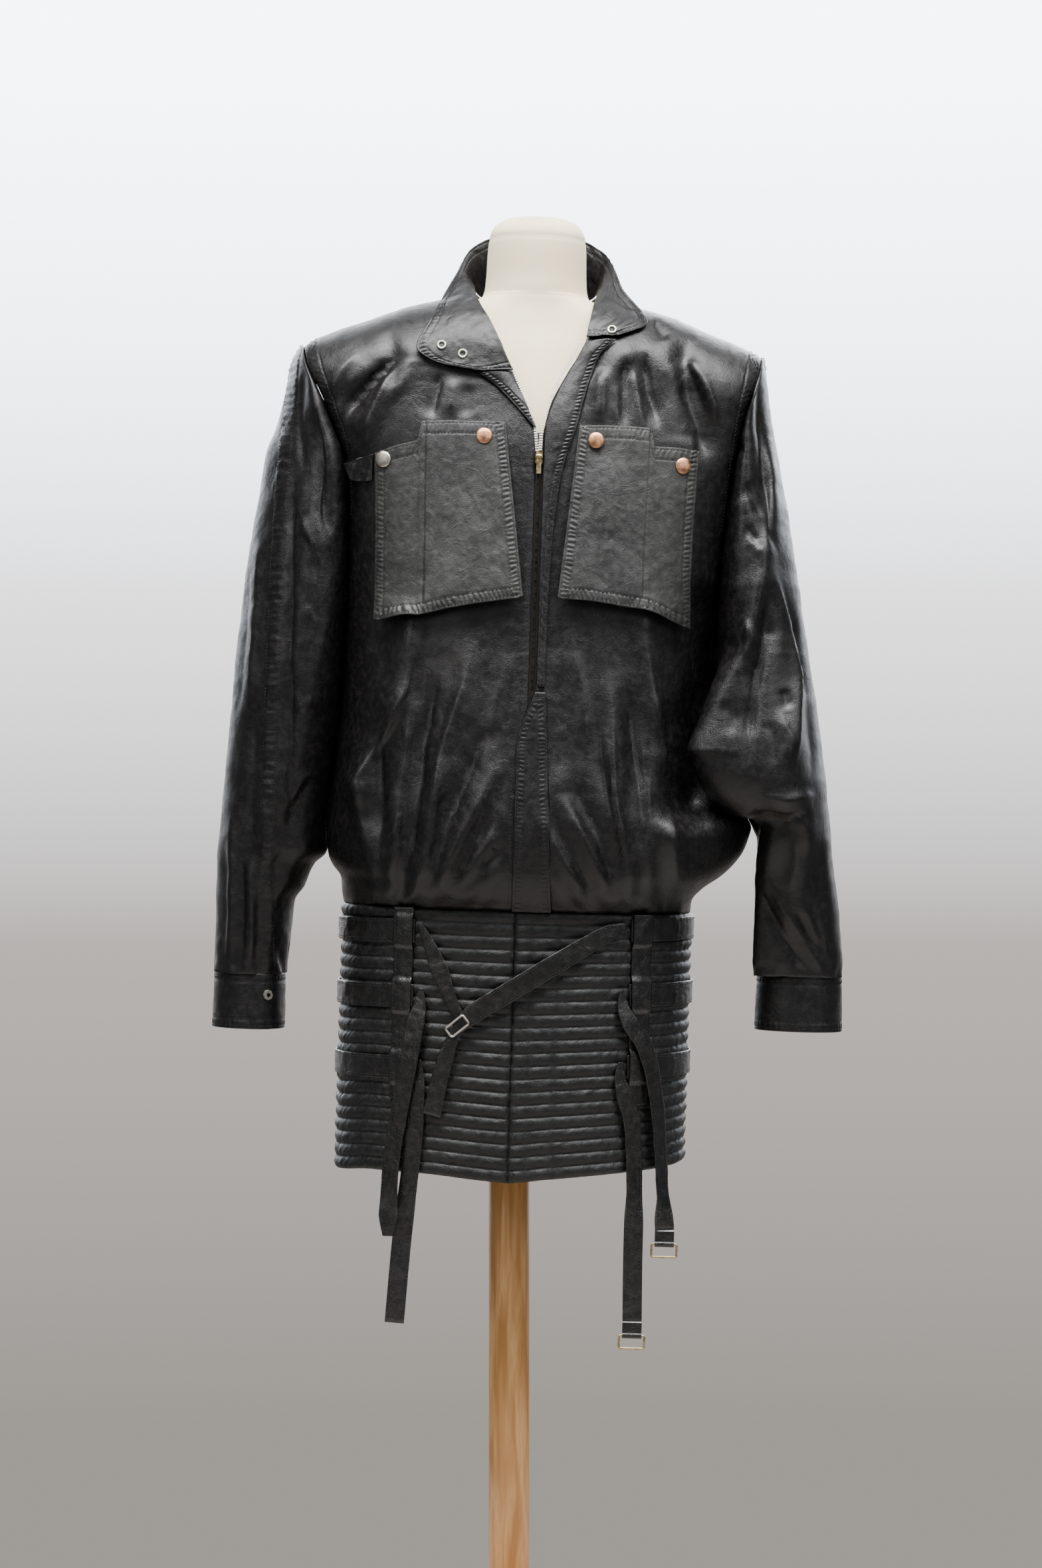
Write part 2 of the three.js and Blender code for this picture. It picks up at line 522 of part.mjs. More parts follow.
// Rounding of the body towards the shoulder line.
function shoulderRound(x, z) {
  const below = at(SHOULDER, 'z', Math.abs(x), 'x') - z;
  const t = 1 - clamp(below, 0, SHOULDER_ROUND) / SHOULDER_ROUND;
  return Math.sqrt(1 - t * t);
}

// Depth of the body's outer face at a place, forward or back; power curve across, valley at its side.
function bodyY(x, z, face) {
  const side = x < 0 ? SIDES.left : SIDES.right;
  const across = clamp(Math.abs(x) / at(side.body, 'x', z), 0, 1);
  const valley = at(VALLEY, 'y', z - side.underarm + 312);
  const deep = at(BODY_DEPTH, face, z);
  const curve = Math.sqrt(1 - across ** BODY_POWER);
  const rise = ridges(FOLDS[face], x, z);
  const fold = rise * (1 - across ** (rise < 0 ? 40 : 10)) * smooth((z - 262) / 22);
  const y = (valley + (deep - valley) * curve) * shoulderRound(x, z) + SEAM / 2 + fold;
  return face === 'front' ? -y : y;
}

// Point on the front's outer face, moved out along its normal.
function onFront(x, z, out) {
  const d = 2;
  const slopeX = (bodyY(x + d, z, 'front') - bodyY(x - d, z, 'front')) / (2 * d);
  const slopeZ = (bodyY(x, z + d, 'front') - bodyY(x, z - d, 'front')) / (2 * d);
  const normal = new THREE.Vector3(slopeX, -1, slopeZ).normalize();
  return new THREE.Vector3(x, bodyY(x, z, 'front'), z).addScaledVector(normal, out);
}

const BODY_LOW = BAND.height + 0.5;
// Rows of the body as fractions of the way up, closer at the blouse over the band and at the shoulder.
const BODY_ROWS = [
  0, 0.022, 0.05, 0.085, 0.125, 0.17, 0.22, 0.28, 0.35, 0.43, 0.51, 0.59, 0.67, 0.75, 0.82, 0.88,
  0.93, 0.964, 0.985, 0.9965, 1,
];

// Seam between body and sleeve at a row's fraction of the way up.
function seamPoint(side, v) {
  let z = lerp(BODY_LOW, 820, v);
  for (let i = 0; i < 12; i += 1) {
    z = lerp(BODY_LOW, at(SHOULDER, 'z', at(side.body, 'x', z), 'x'), v);
  }
  return { x: at(side.body, 'x', z), z, y: Math.abs(bodyY(side.sign * at(side.body, 'x', z), z, 'front')) };
}

// Front panels: columns from the zip or neck edge to the side, rows from the band to the shoulder.
function frontPanel(side) {
  const columns = range(14);
  const edge = (z) => (z < side.neck[0].z ? side.neck[0].x : at(side.neck, 'x', z));
  return BODY_ROWS.map((v) => columns.map((s) => {
    let z = lerp(BODY_LOW, 860, v);
    let x = 0;
    for (let i = 0; i < 12; i += 1) {
      const wide = at(side.body, 'x', z);
      const from = side.sign * edge(z) / wide;
      const start = Math.sign(from) * Math.asin(Math.abs(from) ** (BODY_POWER / 2));
      const turn = lerp(start, Math.PI / 2, s);
      x = side.sign * wide * Math.sign(turn) * Math.abs(Math.sin(turn)) ** (2 / BODY_POWER);
      z = lerp(BODY_LOW, at(SHOULDER, 'z', Math.abs(x), 'x'), v);
    }
    return new THREE.Vector3(x, bodyY(x, z, 'front'), z);
  }));
}

// Back: one panel from side to side, with the neck cut out of its top edge.
function backTop(x) {
  const line = at(SHOULDER, 'z', Math.abs(x), 'x');
  const inside = 1 - (x / NECK.radiusX) ** 2;
  if (inside <= 0) return line;
  const t = Math.min(0.95, NECK.radiusY * Math.sqrt(inside) / at(BODY_DEPTH, 'back', 870));
  return line - SHOULDER_ROUND * (1 - Math.sqrt(1 - t * t));
}

function backPanel() {
  const half = [0.1, 0.19, 0.245, 0.268, 0.36, 0.5, 0.65, 0.8, 0.91, 0.975, 1];
  const columns = [...half.map((part) => -part).reverse(), 0, ...half];
  return BODY_ROWS.map((v) => columns.map((part) => {
    const side = part < 0 ? SIDES.left : SIDES.right;
    let z = lerp(BODY_LOW, 860, v);
    let x = 0;
    for (let i = 0; i < 12; i += 1) {
      x = part * at(side.body, 'x', z);
      z = lerp(BODY_LOW, backTop(x), v);
    }
    return new THREE.Vector3(x, bodyY(x, z, 'back'), z);
  }));
}

// How much of the sleeve's overhang each place round the arm has: most a little before the front seam.
const CREST = 0.8;
function lapping(turn) {
  const t = turn / Math.PI;
  return t > CREST ? ((1 - t) / (1 - CREST)) ** 3 : smooth((t - 0.35) / (CREST - 0.35));
}

// Sleeve: rows that ring the arm from the back seam round the outer edge to the front seam.
function sleeve(side, folds) {
  const cuffTop = side.outer[0].z;
  const low = range(4).slice(0, -1).map((t) => lerp(cuffTop, side.underarm - 8, t));
  const rows = low.map((z) => ({ z, x: at(side.inner, 'x', z), y: 0.3 }));
  for (const v of BODY_ROWS) {
    const seam = seamPoint(side, v);
    if (seam.z > side.underarm) rows.push({ z: seam.z, x: seam.x + 0.9, y: seam.y });
  }
  const tip = rows[rows.length - 1].z;
  return rows.map((row) => range(18).map((s) => {
    const turn = lerp(-Math.PI, Math.PI, s);
    const t = 1 - clamp(tip - row.z, 0, 42) / 42;
    const head = Math.sqrt(1 - t * t);
    const round = (1 - Math.cos(turn)) / 2;
    const bulge = at(side.depth, 'y', row.z) * Math.abs(Math.sin(turn)) ** 0.85;
    const u = 1 - Math.abs(turn) / Math.PI;
    const fold = ridges(folds, u, row.z, ['u0', 'u1'], 50) * Math.abs(Math.sin(turn)) * head;
    const outer = Math.max(at(side.outer, 'x', row.z), row.x + 3);
    const crest = lerp(outer, row.x, (1 - Math.cos(CREST * Math.PI)) / 2);
    const hang = Math.max(0, crest - at(side.edge, 'x', row.z)) * lapping(turn);
    const inset = (bulge + fold) * head + row.y * round + 0.4 * hang;
    return new THREE.Vector3(
      side.sign * (lerp(outer, row.x, round) - hang), Math.sign(-turn) * inset, row.z);
  }));
}

// Cuff: a band that wraps the wrist and laps over itself.
function cuffPoint(side, lapStart, s, v, out = 0) {
  const top = side.outer[0].z - SEAM;
  const middle = (at(side.inner, 'x', top) + at(side.outer, 'x', top)) / 2;
  const wide = (at(side.outer, 'x', top) - at(side.inner, 'x', top)) / 2 - 0.5;
  const deep = at(side.depth, 'y', top) - 1;
  const turn = lerp(-0.12, 2 * Math.PI + 0.2, s) + lapStart;
  const more = CUFF.overlap * smooth((s - 0.86) / 0.1) + CUFF.flare * (1 - v) + out;
  return new THREE.Vector3(
    side.sign * (middle + (wide + more) * Math.cos(turn)),
    side.sign * (deep + more) * Math.sin(turn),
    top - CUFF.height * (1 - v));
}

function cuff(side, lapStart) {
  return range(2).map((v) => range(20).map((s) => cuffPoint(side, lapStart, s, v)));
}

// Point on the hip band's base surface for a position across, in front or behind, moved out.
function onBand(x, z, face, out) {
  const wide = x < 0 ? BAND.left : BAND.right;
  const deep = BAND[face];
  const p = BAND.power;
  const across = Math.min(1, Math.abs(x) / wide);
  const forward = (1 - across ** p) ** (1 / p);
  const normal = new THREE.Vector3(
    Math.sign(x) * across ** (p - 1) / wide, forward ** (p - 1) / deep, 0).normalize();
  const point = new THREE.Vector3(Math.sign(x) * across * wide, forward * deep, z);
  point.addScaledVector(normal, out);
  if (face === 'front') point.y = -point.y;
  return point;
}

// Quilted band piece between two turns round the hips; turn 0 is the middle of that face.
function bandPiece(face, from, to, count) {
  const pitch = BAND.height / RIBS.count;
  const place = (turn, z, out) => {
    const wide = turn < 0 ? BAND.left : BAND.right;
    const x = Math.sign(turn) * wide * Math.abs(Math.sin(turn)) ** (2 / BAND.power);
    const lift = at(HEM_LIFT[face], 'z', x, 'x') * (1 - z / BAND.height);
    return onBand(x, z + lift, face, out);
  };
  const turns = range(count).map((s) => lerp(from, to, s));
  const outer = range(RIBS.count * 2).map((v, i) => {
    const z = (i * pitch) / 2;
    return turns.map((turn) => place(turn, z, i % 2 ? RIBS.rise : RIBS.groove));
  });
  const inner = [0, BAND.height].map((z) => turns.map((turn) => place(turn, z, -BAND.wall)));
  return ribbedWall(outer, inner);
}

const bandTurn = (x, wide) => Math.asin((Math.abs(x) / wide) ** (BAND.power / 2)) * Math.sign(x);

// Hip straps round the back, from loop to loop; a strap's height drifts a little across the band.
const strapRise = (x) => x * 0.03;

function hipStrap(height) {
  const out = STRAP.lift + STRAP.thick / 2;
  const place = (turn, face) => {
    const x = Math.sign(turn) * BAND.left * Math.abs(Math.sin(turn)) ** (2 / BAND.power);
    return onBand(x, height + strapRise(x), face, out);
  };
  const start = bandTurn(STRAP.fromX, BAND.left);
  const end = bandTurn(STRAP.toX, BAND.right);
  const path = [
    ...range(7).slice(0, -1).map((t) => place(lerp(start, -Math.PI / 2, t), 'front')),
    ...range(22).map((t) => place(lerp(-Math.PI / 2, Math.PI / 2, t), 'back')),
    ...range(7).slice(1).map((t) => place(lerp(Math.PI / 2, end, t), 'front')),
  ];
  const across = path.map(() => new THREE.Vector3(0, 0, 1));
  return strip(path, across, path.map(() => STRAP.width), STRAP.thick);
}

// Vertical loop strip, stitched to the band and bulging over each hip strap.
function loopStrip(x) {
  const flat = RIBS.rise + RIBS.groove + LOOPS.thick;
  const raised = STRAP.lift + STRAP.thick + 0.5 + LOOPS.thick;
  const over = STRAP.width / 2 + 1.8;
  const row = (z, out) => range(2).map((s) => onBand(x + (s - 0.5) * LOOPS.width, z, 'front', out));
  const rows = [row(LOOPS.bottom, flat)];
  for (const height of [...STRAP_HEIGHTS].reverse()) {
    const z = height + strapRise(x);
    rows.push(row(z - over - 6, flat), row(z - over, raised), row(z, raised + 0.4));
    if (z + over + 6 < BAND.height) rows.push(row(z + over, raised), row(z + over + 6, flat));
  }
  rows.push(row(BAND.height - 0.6, raised));
  return cloth(rows, 1, LOOPS.thick);
}

// Hanging stretch of a strap: lies along the band, and below the hem turns to face forward.
function hangingEnd(tail) {
  const curve = new THREE.CatmullRomCurve3(
    tail.map((p) => onBand(p.x, p.z, 'front', p.out)), false, 'centripetal');
  const widths = new THREE.CatmullRomCurve3(tail.map((p) => new THREE.Vector3(p.wide, 0, 0)));
  const steps = range(12);
  const path = steps.map((t) => curve.getPoint(t));
  const across = path.map((p, i) => {
    const along = path[Math.min(i + 1, path.length - 1)].clone().sub(path[Math.max(i - 1, 0)]);
    const normal = onBand(p.x, p.z, 'front', 1).sub(onBand(p.x, p.z, 'front', 0));
    const free = smooth((-8 - p.z) / 40);
    normal.lerp(new THREE.Vector3(0, -1, 0), free);
    return normal.cross(along).normalize();
  });
  return strip(path, across, steps.map((t) => widths.getPoint(t).x), STRAP.thick);
}

// Boolean work on closed geometries.
function toManifold(geometry) {
  const position = geometry.attributes.position;
  const merged = new Map();
  const points = [];
  const names = [];
  for (let i = 0; i < position.count; i += 1) {
    const p = [position.getX(i), position.getY(i), position.getZ(i)];
    const key = p.map((v) => Math.round(v * 1e4)).join(',');
    if (!merged.has(key)) {
      merged.set(key, points.length / 3);
      points.push(...p);
    }
    names.push(merged.get(key));
  }
  const index = geometry.index ? Array.from(geometry.index.array) : names.map((_, i) => i);
  return new wasm.Manifold(new wasm.Mesh({
    numProp: 3,
    vertProperties: new Float32Array(points),
    triVerts: new Uint32Array(index.map((i) => names[i])),
  }));
}

function fromManifold(body) {
  const mesh = body.getMesh();
  const geometry = new THREE.BufferGeometry();
  geometry.setAttribute('position', new THREE.Float32BufferAttribute(mesh.vertProperties, 3));
  geometry.setIndex(Array.from(mesh.triVerts));
  geometry.computeVertexNormals();
  return geometry;
}

function block(x, y, z, at3) {
  return new THREE.BoxGeometry(x, y, z).translate(at3.x, at3.y, at3.z);
}

// Eye with a plate hanging from it, drawn in the y-z plane and run along x.
function eyePlate(hole, rim, thick, length, width, up) {
  const shape = new THREE.Shape();
  const outer = hole + rim;
  const start = Math.asin(thick / 2 / outer);
  shape.moveTo(thick / 2, -length);
  shape.lineTo(thick / 2, -outer * Math.cos(start));
  for (const t of range(14).slice(1, -1)) {
    const turn = lerp(start, 2 * Math.PI - start, t);
    shape.lineTo(outer * Math.sin(turn), -outer * Math.cos(turn));
  }
  shape.lineTo(-thick / 2, -outer * Math.cos(start));
  shape.lineTo(-thick / 2, -length);
  const ring = new THREE.Path();
  ring.absarc(0, 0, hole, 0, 2 * Math.PI, true);
  shape.holes.push(ring);
  const geometry = new THREE.ExtrudeGeometry(shape, { depth: width, bevelEnabled: false, curveSegments: 8 });
  geometry.translate(0, 0, -width / 2);
  geometry.rotateX(Math.PI / 2);
  geometry.rotateZ(-Math.PI / 2);
  if (up) geometry.rotateX(Math.PI);
  return geometry;
}

function capGeometry(radius, height) {
  const profile = [
    new THREE.Vector2(0, 0), new THREE.Vector2(radius, 0), new THREE.Vector2(radius, height * 0.5),
    new THREE.Vector2(radius * 0.75, height * 0.9), new THREE.Vector2(0, height),
  ];
  return new THREE.LatheGeometry(profile, 10);
}

function ringGeometry(radius, hole, height) {
  const profile = [
    new THREE.Vector2(hole, 0), new THREE.Vector2(radius, 0), new THREE.Vector2(radius * 0.9, height),
    new THREE.Vector2(hole, height), new THREE.Vector2(hole, 0),
  ];
  return new THREE.LatheGeometry(profile, 8);
}

function placeFacing(geometry, point, normal) {
  const turn = new THREE.Quaternion().setFromUnitVectors(new THREE.Vector3(0, 1, 0), normal);
  return geometry.applyQuaternion(turn).translate(point.x, point.y, point.z);
}

// Least distance of the collar's inner face in front of the fronts, and how far above the shoulder
// line it no longer counts.
const COLLAR_GAP = { seam: WALL + 2.8, edge: WALL + 5.4, above: 6 };

// Point of the collar's inner face: t runs round the neck, w from the neck seam to the free edge.
const collarInner = new THREE.CatmullRomCurve3(
  COLLAR.map((p) => new THREE.Vector3(p.ix, p.iy, p.iz)), false, 'centripetal');
const collarOuter = new THREE.CatmullRomCurve3(
  COLLAR.map((p) => new THREE.Vector3(p.ox, p.oy, p.oz)), false, 'centripetal');

function collarPoint(t, w) {
  const p = collarInner.getPoint(t).lerp(collarOuter.getPoint(t), w);
  const gap = COLLAR_GAP.seam + (COLLAR_GAP.edge - COLLAR_GAP.seam) * w;
  const line = at(SHOULDER, 'z', Math.abs(p.x), 'x');
  const short = p.y + gap - bodyY(p.x, Math.min(p.z, line - 0.01), 'front');
  if (p.y < 20) p.y -= Math.max(0, short) * smooth((line + COLLAR_GAP.above - p.z) / 8);
  return p;
}

function collar() {
  return range(4).map((w) => range(28).map((t) => collarPoint(t, w)));
}

// Place on the collar nearest to a point of the front view, with the direction it faces.
function onCollar(x, z, lift) {
  let best = null;
  for (const t of range(160)) {
    for (const w of range(24)) {
      const p = collarPoint(t, w);
      const off = Math.hypot(p.x - x, p.z - z) + (p.y > 0 ? 1000 : 0);
      if (!best || off < best.off) best = { off, t, w, p };
    }
  }
  const along = collarPoint(best.t + 0.02, best.w).sub(collarPoint(best.t - 0.02, best.w));
  const up = collarPoint(best.t, Math.min(1, best.w + 0.1)).sub(collarPoint(best.t, best.w - 0.1));
  const normal = along.cross(up).normalize();
  return { point: best.p.clone().addScaledVector(normal, lift), normal };
}

// Height of a lapel's roll as a part of its width.
const LAPEL_ROLL = 0.13;

function lapel(side, table) {
  const rows = table.map((row) => range(4).map((s) => {
    const roll = WALL + 0.5 + LAPEL_ROLL * Math.abs(row.ox - row.ix) * Math.sin(Math.PI * s * 0.85);
    return onFront(lerp(row.ix, row.ox, s), lerp(row.iz, row.oz, s), roll);
  }));
  return cloth(rows.reverse(), side.sign);
}

// Pocket flaps: made from the front's points, moved out more towards the free edge.
const flapLift = (v) => WALL + 0.9 + 11 * v ** 1.4;

function flap(side, columns) {
  const rows = range(8).map((v) => columns.map((c) => {
    const x = lerp(c.topX, c.botX, v);
    const z = lerp(c.topZ, c.botZ, v);
    return onFront(x, z, flapLift(v));
  }));
  return cloth(rows.reverse(), 1);
}

// Small crumpled tab that sticks out from under the left flap's outer edge.
const TAB = {
  x: -154, out: 28, top: 708, bottom: 681, stand: 0.5, crumple: 2.2, slope: 9, dip: 4, taper: 0.25,
  waves: 8, slant: 3, clear: 1.3, seat: 0.8,
};
function flapTab() {
  return range(4).map((v) => range(5).map((s) => {
    const z = lerp(TAB.bottom + TAB.dip * Math.abs(s - 0.4), TAB.top - TAB.slope * s, v);
    const off = TAB.out * s * (1 - TAB.taper * (1 - v));
    const fold = TAB.crumple * Math.sin(s * TAB.waves + v * TAB.slant) * Math.min(1, s * 3);
    const seat = bodyY(TAB.x, z, 'front') + TAB.stand * off - fold;
    const clear = onFront(TAB.x - off, z, WALL + TAB.clear);
    return new THREE.Vector3(clear.x, Math.min(clear.y, seat - WALL - TAB.seat), z);
  }));
}

function frontNormal(x, z) {
  return onFront(x, z, 1).sub(onFront(x, z, 0));
}

function strapOnFront(x0, x1, rowsZ, out, thick) {
  const rows = rowsZ.map((row) => range(5).map((s) => onFront(lerp(x0(row), x1(row), s), row, out)));
  return cloth(rows, 1, thick);
}

// Fronts, back, sleeves and cuffs
for (const [name, side] of Object.entries(SIDES)) {
  add(worn, `front_${name}`, cloth(frontPanel(side), side.sign, WALL, true), 'leather');
  add(worn, `sleeve_${name}`, cloth(sleeve(side, SLEEVE_FOLDS[name]), -side.sign, WALL, true), 'leather');
  add(worn, `cuff_${name}`, cloth(cuff(side, CUFF.lapStart[name]), 1, CUFF.wall), 'leather');
  add(worn, `pocket_flap_${name}`, flap(side, FLAPS[name]), 'leather');
  add(worn, `lapel_${name}`, lapel(side, LAPELS[name]), 'leather');
}
add(worn, 'flap_tab_left', cloth(flapTab(), -1), 'leather');
add(worn, 'back', cloth(backPanel(), -1, WALL, true), 'leather');
add(worn, 'collar', cloth(collar(), 1), 'leather');

// Zip: tape behind the front edges, fly strip over its lower part, slider and pull tab
const TAPE = { from: -2, to: 18, high: 733, thick: 1, behind: WALL + 0.8 };
const FLY = {
  high: 478,
  out: WALL + 1.1,
  left: [{ z: 265, x: -5 }, { z: 425, x: -5 }, { z: 478, x: 11 }],
  right: [{ z: 265, x: 33 }, { z: 480, x: 21 }],
};
const rowsUpTo = (high) => {
  const rows = BODY_ROWS.map((v) => lerp(BODY_LOW, SHOULDER[0].z, v));
  return [...rows.filter((z) => z < high - 8), high];
};
add(worn, 'zip_tape', strapOnFront(
  () => TAPE.from, () => TAPE.to, rowsUpTo(TAPE.high), -TAPE.behind, TAPE.thick), 'tape');
add(worn, 'zip_fly', strapOnFront(
  (z) => at(FLY.left, 'x', z), (z) => at(FLY.right, 'x', z), rowsUpTo(FLY.high), FLY.out, WALL), 'leather');

const sliderY = bodyY(SLIDER.x, SLIDER.z, 'front') + TAPE.behind - 0.5;
const pinY = sliderY - SLIDER.depth - PULL.eye - PULL.rim - SEAM;
function slider() {
  const { x, z, width, height, depth } = SLIDER;
  let body = toManifold(block(width, depth, height, { x, y: sliderY - depth / 2, z }));
  for (const sign of [-1, 1]) {
    const cheek = { x: x + sign * (PULL.width / 2 + 0.75), y: pinY + 1.2, z: z + 1 };
    body = body.add(toManifold(block(0.9, 4.6, 3.4, cheek)));
  }
  const pin = new THREE.CylinderGeometry(PULL.pin, PULL.pin, PULL.width + 2, 10);
  pin.rotateZ(Math.PI / 2).translate(x, pinY, z + 1);
  return fromManifold(body.add(toManifold(pin)));
}
add(worn, 'zip_slider', slider(), 'brass');
const pull = eyePlate(PULL.eye, PULL.rim, PULL.thick, PULL.length, PULL.width, false);
add(worn, 'zip_pull_tab', pull.translate(SLIDER.x, pinY, SLIDER.z + 1), 'brass');

// Quilted hip band in three pieces, its loop strips and the three hip straps
const LAP = { left: -2, right: -1.4 };
const sideTurn = Math.PI / 2 - 0.004;
add(worn, 'band_front_left', bandPiece('front', bandTurn(LAP.left, BAND.left), -sideTurn, 6), 'quilt');
add(worn, 'band_front_right', bandPiece('front', bandTurn(LAP.right, BAND.right), sideTurn, 6), 'quilt');
add(worn, 'band_back', bandPiece('back', -sideTurn, sideTurn, 12), 'quilt');
add(worn, 'loop_strip_left', loopStrip(LOOPS.left), 'strap');
add(worn, 'loop_strip_right', loopStrip(LOOPS.right), 'strap');
['top', 'middle', 'low'].forEach((name, i) => {
  add(worn, `hip_strap_${name}`, hipStrap(STRAP_HEIGHTS[i]), 'strap');
});
for (const [name, tail] of Object.entries(TAILS)) add(worn, name, hangingEnd(tail), 'strap');

// Buckle that joins the top strap's ends, lying on them
function frame(width, height, bar, corner) {
  const shape = new THREE.Shape();
  const x = width / 2 - bar;
  const z = height / 2 - bar;
  shape.moveTo(-x + corner, -z).lineTo(x - corner, -z).quadraticCurveTo(x, -z, x, -z + corner);
  shape.lineTo(x, z - corner).quadraticCurveTo(x, z, x - corner, z);
  shape.lineTo(-x + corner, z).quadraticCurveTo(-x, z, -x, z - corner);
  shape.lineTo(-x, -z + corner).quadraticCurveTo(-x, -z, -x + corner, -z);
  return shape.getPoints(2).slice(0, -1).map((p) => new THREE.Vector3(p.x, 0, p.y));
}
const BUCKLE = { x: -53, z: 152, width: 24, height: 13, bar: 1.1, tilt: 0.7, lift: 11.6 };
const buckle = barLoop(frame(BUCKLE.width, BUCKLE.height, BUCKLE.bar, 2), BUCKLE.bar, RING.sides);
buckle.rotateY(-BUCKLE.tilt);
const buckleAt = onBand(BUCKLE.x, BUCKLE.z, 'front', BUCKLE.lift);
buckle.rotateZ(-0.12).translate(buckleAt.x, buckleAt.y, buckleAt.z);
add(worn, 'centre_buckle', buckle, 'steel');

// Ring buckles, each swinging in the folded end of its strap
for (const [name, tailName] of [['middle', 'strap_middle_right_end'], ['low', 'strap_low_right_end']]) {
  const end = TAILS[tailName][TAILS[tailName].length - 1];
  const hole = RING.bar + RING.play;
  const axis = onBand(end.x, end.z, 'front', end.out);
  axis.z -= 3 * SEAM + RING.fold;
  const fold = eyePlate(hole, 1.6, 3.6, RING.fold, STRAP.tail, true);
  add(worn, `strap_fold_${name}`, fold.translate(axis.x, axis.y, axis.z), 'strap');
  const loop = barLoop(frame(RING.width, RING.height, RING.bar, 2), RING.bar, RING.sides);
  const drop = RING.height / 2 - RING.bar;
  add(worn, `ring_buckle_${name}`, loop.translate(axis.x, axis.y, axis.z - drop), 'brass');
}

// Snaps on the flaps, snap rings on the collar and left cuff
for (const snap of FLAP_SNAPS) {
  const high = at(FLAPS[snap.side], 'topZ', snap.x, 'topX');
  const low = at(FLAPS[snap.side], 'botZ', snap.x, 'botX');
  const v = (high - snap.z) / (high - low);
  const point = onFront(snap.x, snap.z, flapLift(v) + 0.6);
  const cap = placeFacing(capGeometry(SNAP_RADIUS, 3), point, frontNormal(snap.x, snap.z));
  add(worn, snap.name, cap, snap.steel ? 'steel' : 'copper');
}
const COLLAR_RINGS = [
  { x: -91, z: 817, lift: 0.8 }, { x: -70, z: 809, lift: 0.6 }, { x: 76, z: 838, lift: 0.5 },
];
COLLAR_RINGS.forEach((place, i) => {
  const seat = onCollar(place.x, place.z, place.lift);
  const ring = placeFacing(ringGeometry(5, 2.4, 1.4), seat.point, seat.normal);
  add(worn, `snap_ring_collar_${i + 1}`, ring, 'steel');
});
const cuffSeat = cuffPoint(SIDES.left, CUFF.lapStart.left, 0.975, 0.62, 0.6);
const cuffFacing = cuffPoint(SIDES.left, CUFF.lapStart.left, 0.975, 0.62, 2).sub(cuffSeat).normalize();
add(worn, 'snap_ring_cuff', placeFacing(ringGeometry(5.5, 2.4, 1.6), cuffSeat, cuffFacing), 'steel');

// Dress form: neck with a gathered cap, shoulders, bust and waist, closed and flat below
const FORM_POWER = 2.2;
const formRings = FORM_SECTIONS.map((row) => range(20).slice(0, -1).map((t) => {
  const turn = t * 2 * Math.PI;
  const power = row.z > 880 ? 2 : FORM_POWER;
  const c = Math.cos(turn);
  const s = Math.sin(turn);
  const deep = s < 0 ? row.front : row.back;
  return new THREE.Vector3(
    Math.sign(c) * row.x * Math.abs(c) ** (2 / power),
    Math.sign(s) * deep * Math.abs(s) ** (2 / power),
    row.z);
}));
add(worn, 'dress_form', loft(formRings), 'jersey');

// Pole and base
const poleTop = HEM_HEIGHT + FORM_SECTIONS[0].z * Math.cos(LEAN) - POLE.radius * Math.sin(LEAN) - 2 * SEAM;
const poleLength = poleTop - BASE.height - SEAM;
const pole = new THREE.CylinderGeometry(POLE.radius, POLE.radius, poleLength, 20);
add(stand, 'pole', pole.rotateX(Math.PI / 2).translate(0, 0, BASE.height + SEAM + poleLength / 2), 'pine');
const baseProfile = [
  [0, 0], [BASE.radius - 2, 0], [BASE.radius, 3], [BASE.radius, BASE.height - 8],
  [BASE.radius - 3, BASE.height - 2.5], [BASE.radius - 9, BASE.height], [0, BASE.height],
].map(([r, z]) => new THREE.Vector2(r, z));
add(stand, 'base', new THREE.LatheGeometry(baseProfile, 32).rotateX(Math.PI / 2), 'pine');

export default jacket;
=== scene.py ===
import math

import bpy
import numpy as np
from mathutils import Matrix, Vector

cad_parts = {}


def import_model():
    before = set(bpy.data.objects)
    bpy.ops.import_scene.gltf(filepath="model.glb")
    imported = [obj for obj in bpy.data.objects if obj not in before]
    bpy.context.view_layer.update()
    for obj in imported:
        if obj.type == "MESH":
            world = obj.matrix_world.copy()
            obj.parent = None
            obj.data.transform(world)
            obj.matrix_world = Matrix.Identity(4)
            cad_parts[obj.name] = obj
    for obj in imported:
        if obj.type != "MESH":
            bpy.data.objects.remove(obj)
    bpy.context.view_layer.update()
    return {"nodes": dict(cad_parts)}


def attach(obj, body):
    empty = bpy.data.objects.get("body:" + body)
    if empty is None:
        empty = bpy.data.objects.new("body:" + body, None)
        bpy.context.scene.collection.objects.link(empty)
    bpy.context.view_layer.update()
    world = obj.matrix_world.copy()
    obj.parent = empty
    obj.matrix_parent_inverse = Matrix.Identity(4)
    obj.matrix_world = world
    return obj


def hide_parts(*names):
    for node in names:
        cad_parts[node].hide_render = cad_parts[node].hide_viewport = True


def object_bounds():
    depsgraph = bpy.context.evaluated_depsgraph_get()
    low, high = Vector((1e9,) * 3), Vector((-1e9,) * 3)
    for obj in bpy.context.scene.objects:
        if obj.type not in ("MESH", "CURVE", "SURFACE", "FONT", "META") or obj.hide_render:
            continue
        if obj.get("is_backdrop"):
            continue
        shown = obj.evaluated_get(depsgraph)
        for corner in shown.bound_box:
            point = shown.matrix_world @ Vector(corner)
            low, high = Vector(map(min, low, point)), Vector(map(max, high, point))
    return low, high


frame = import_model()

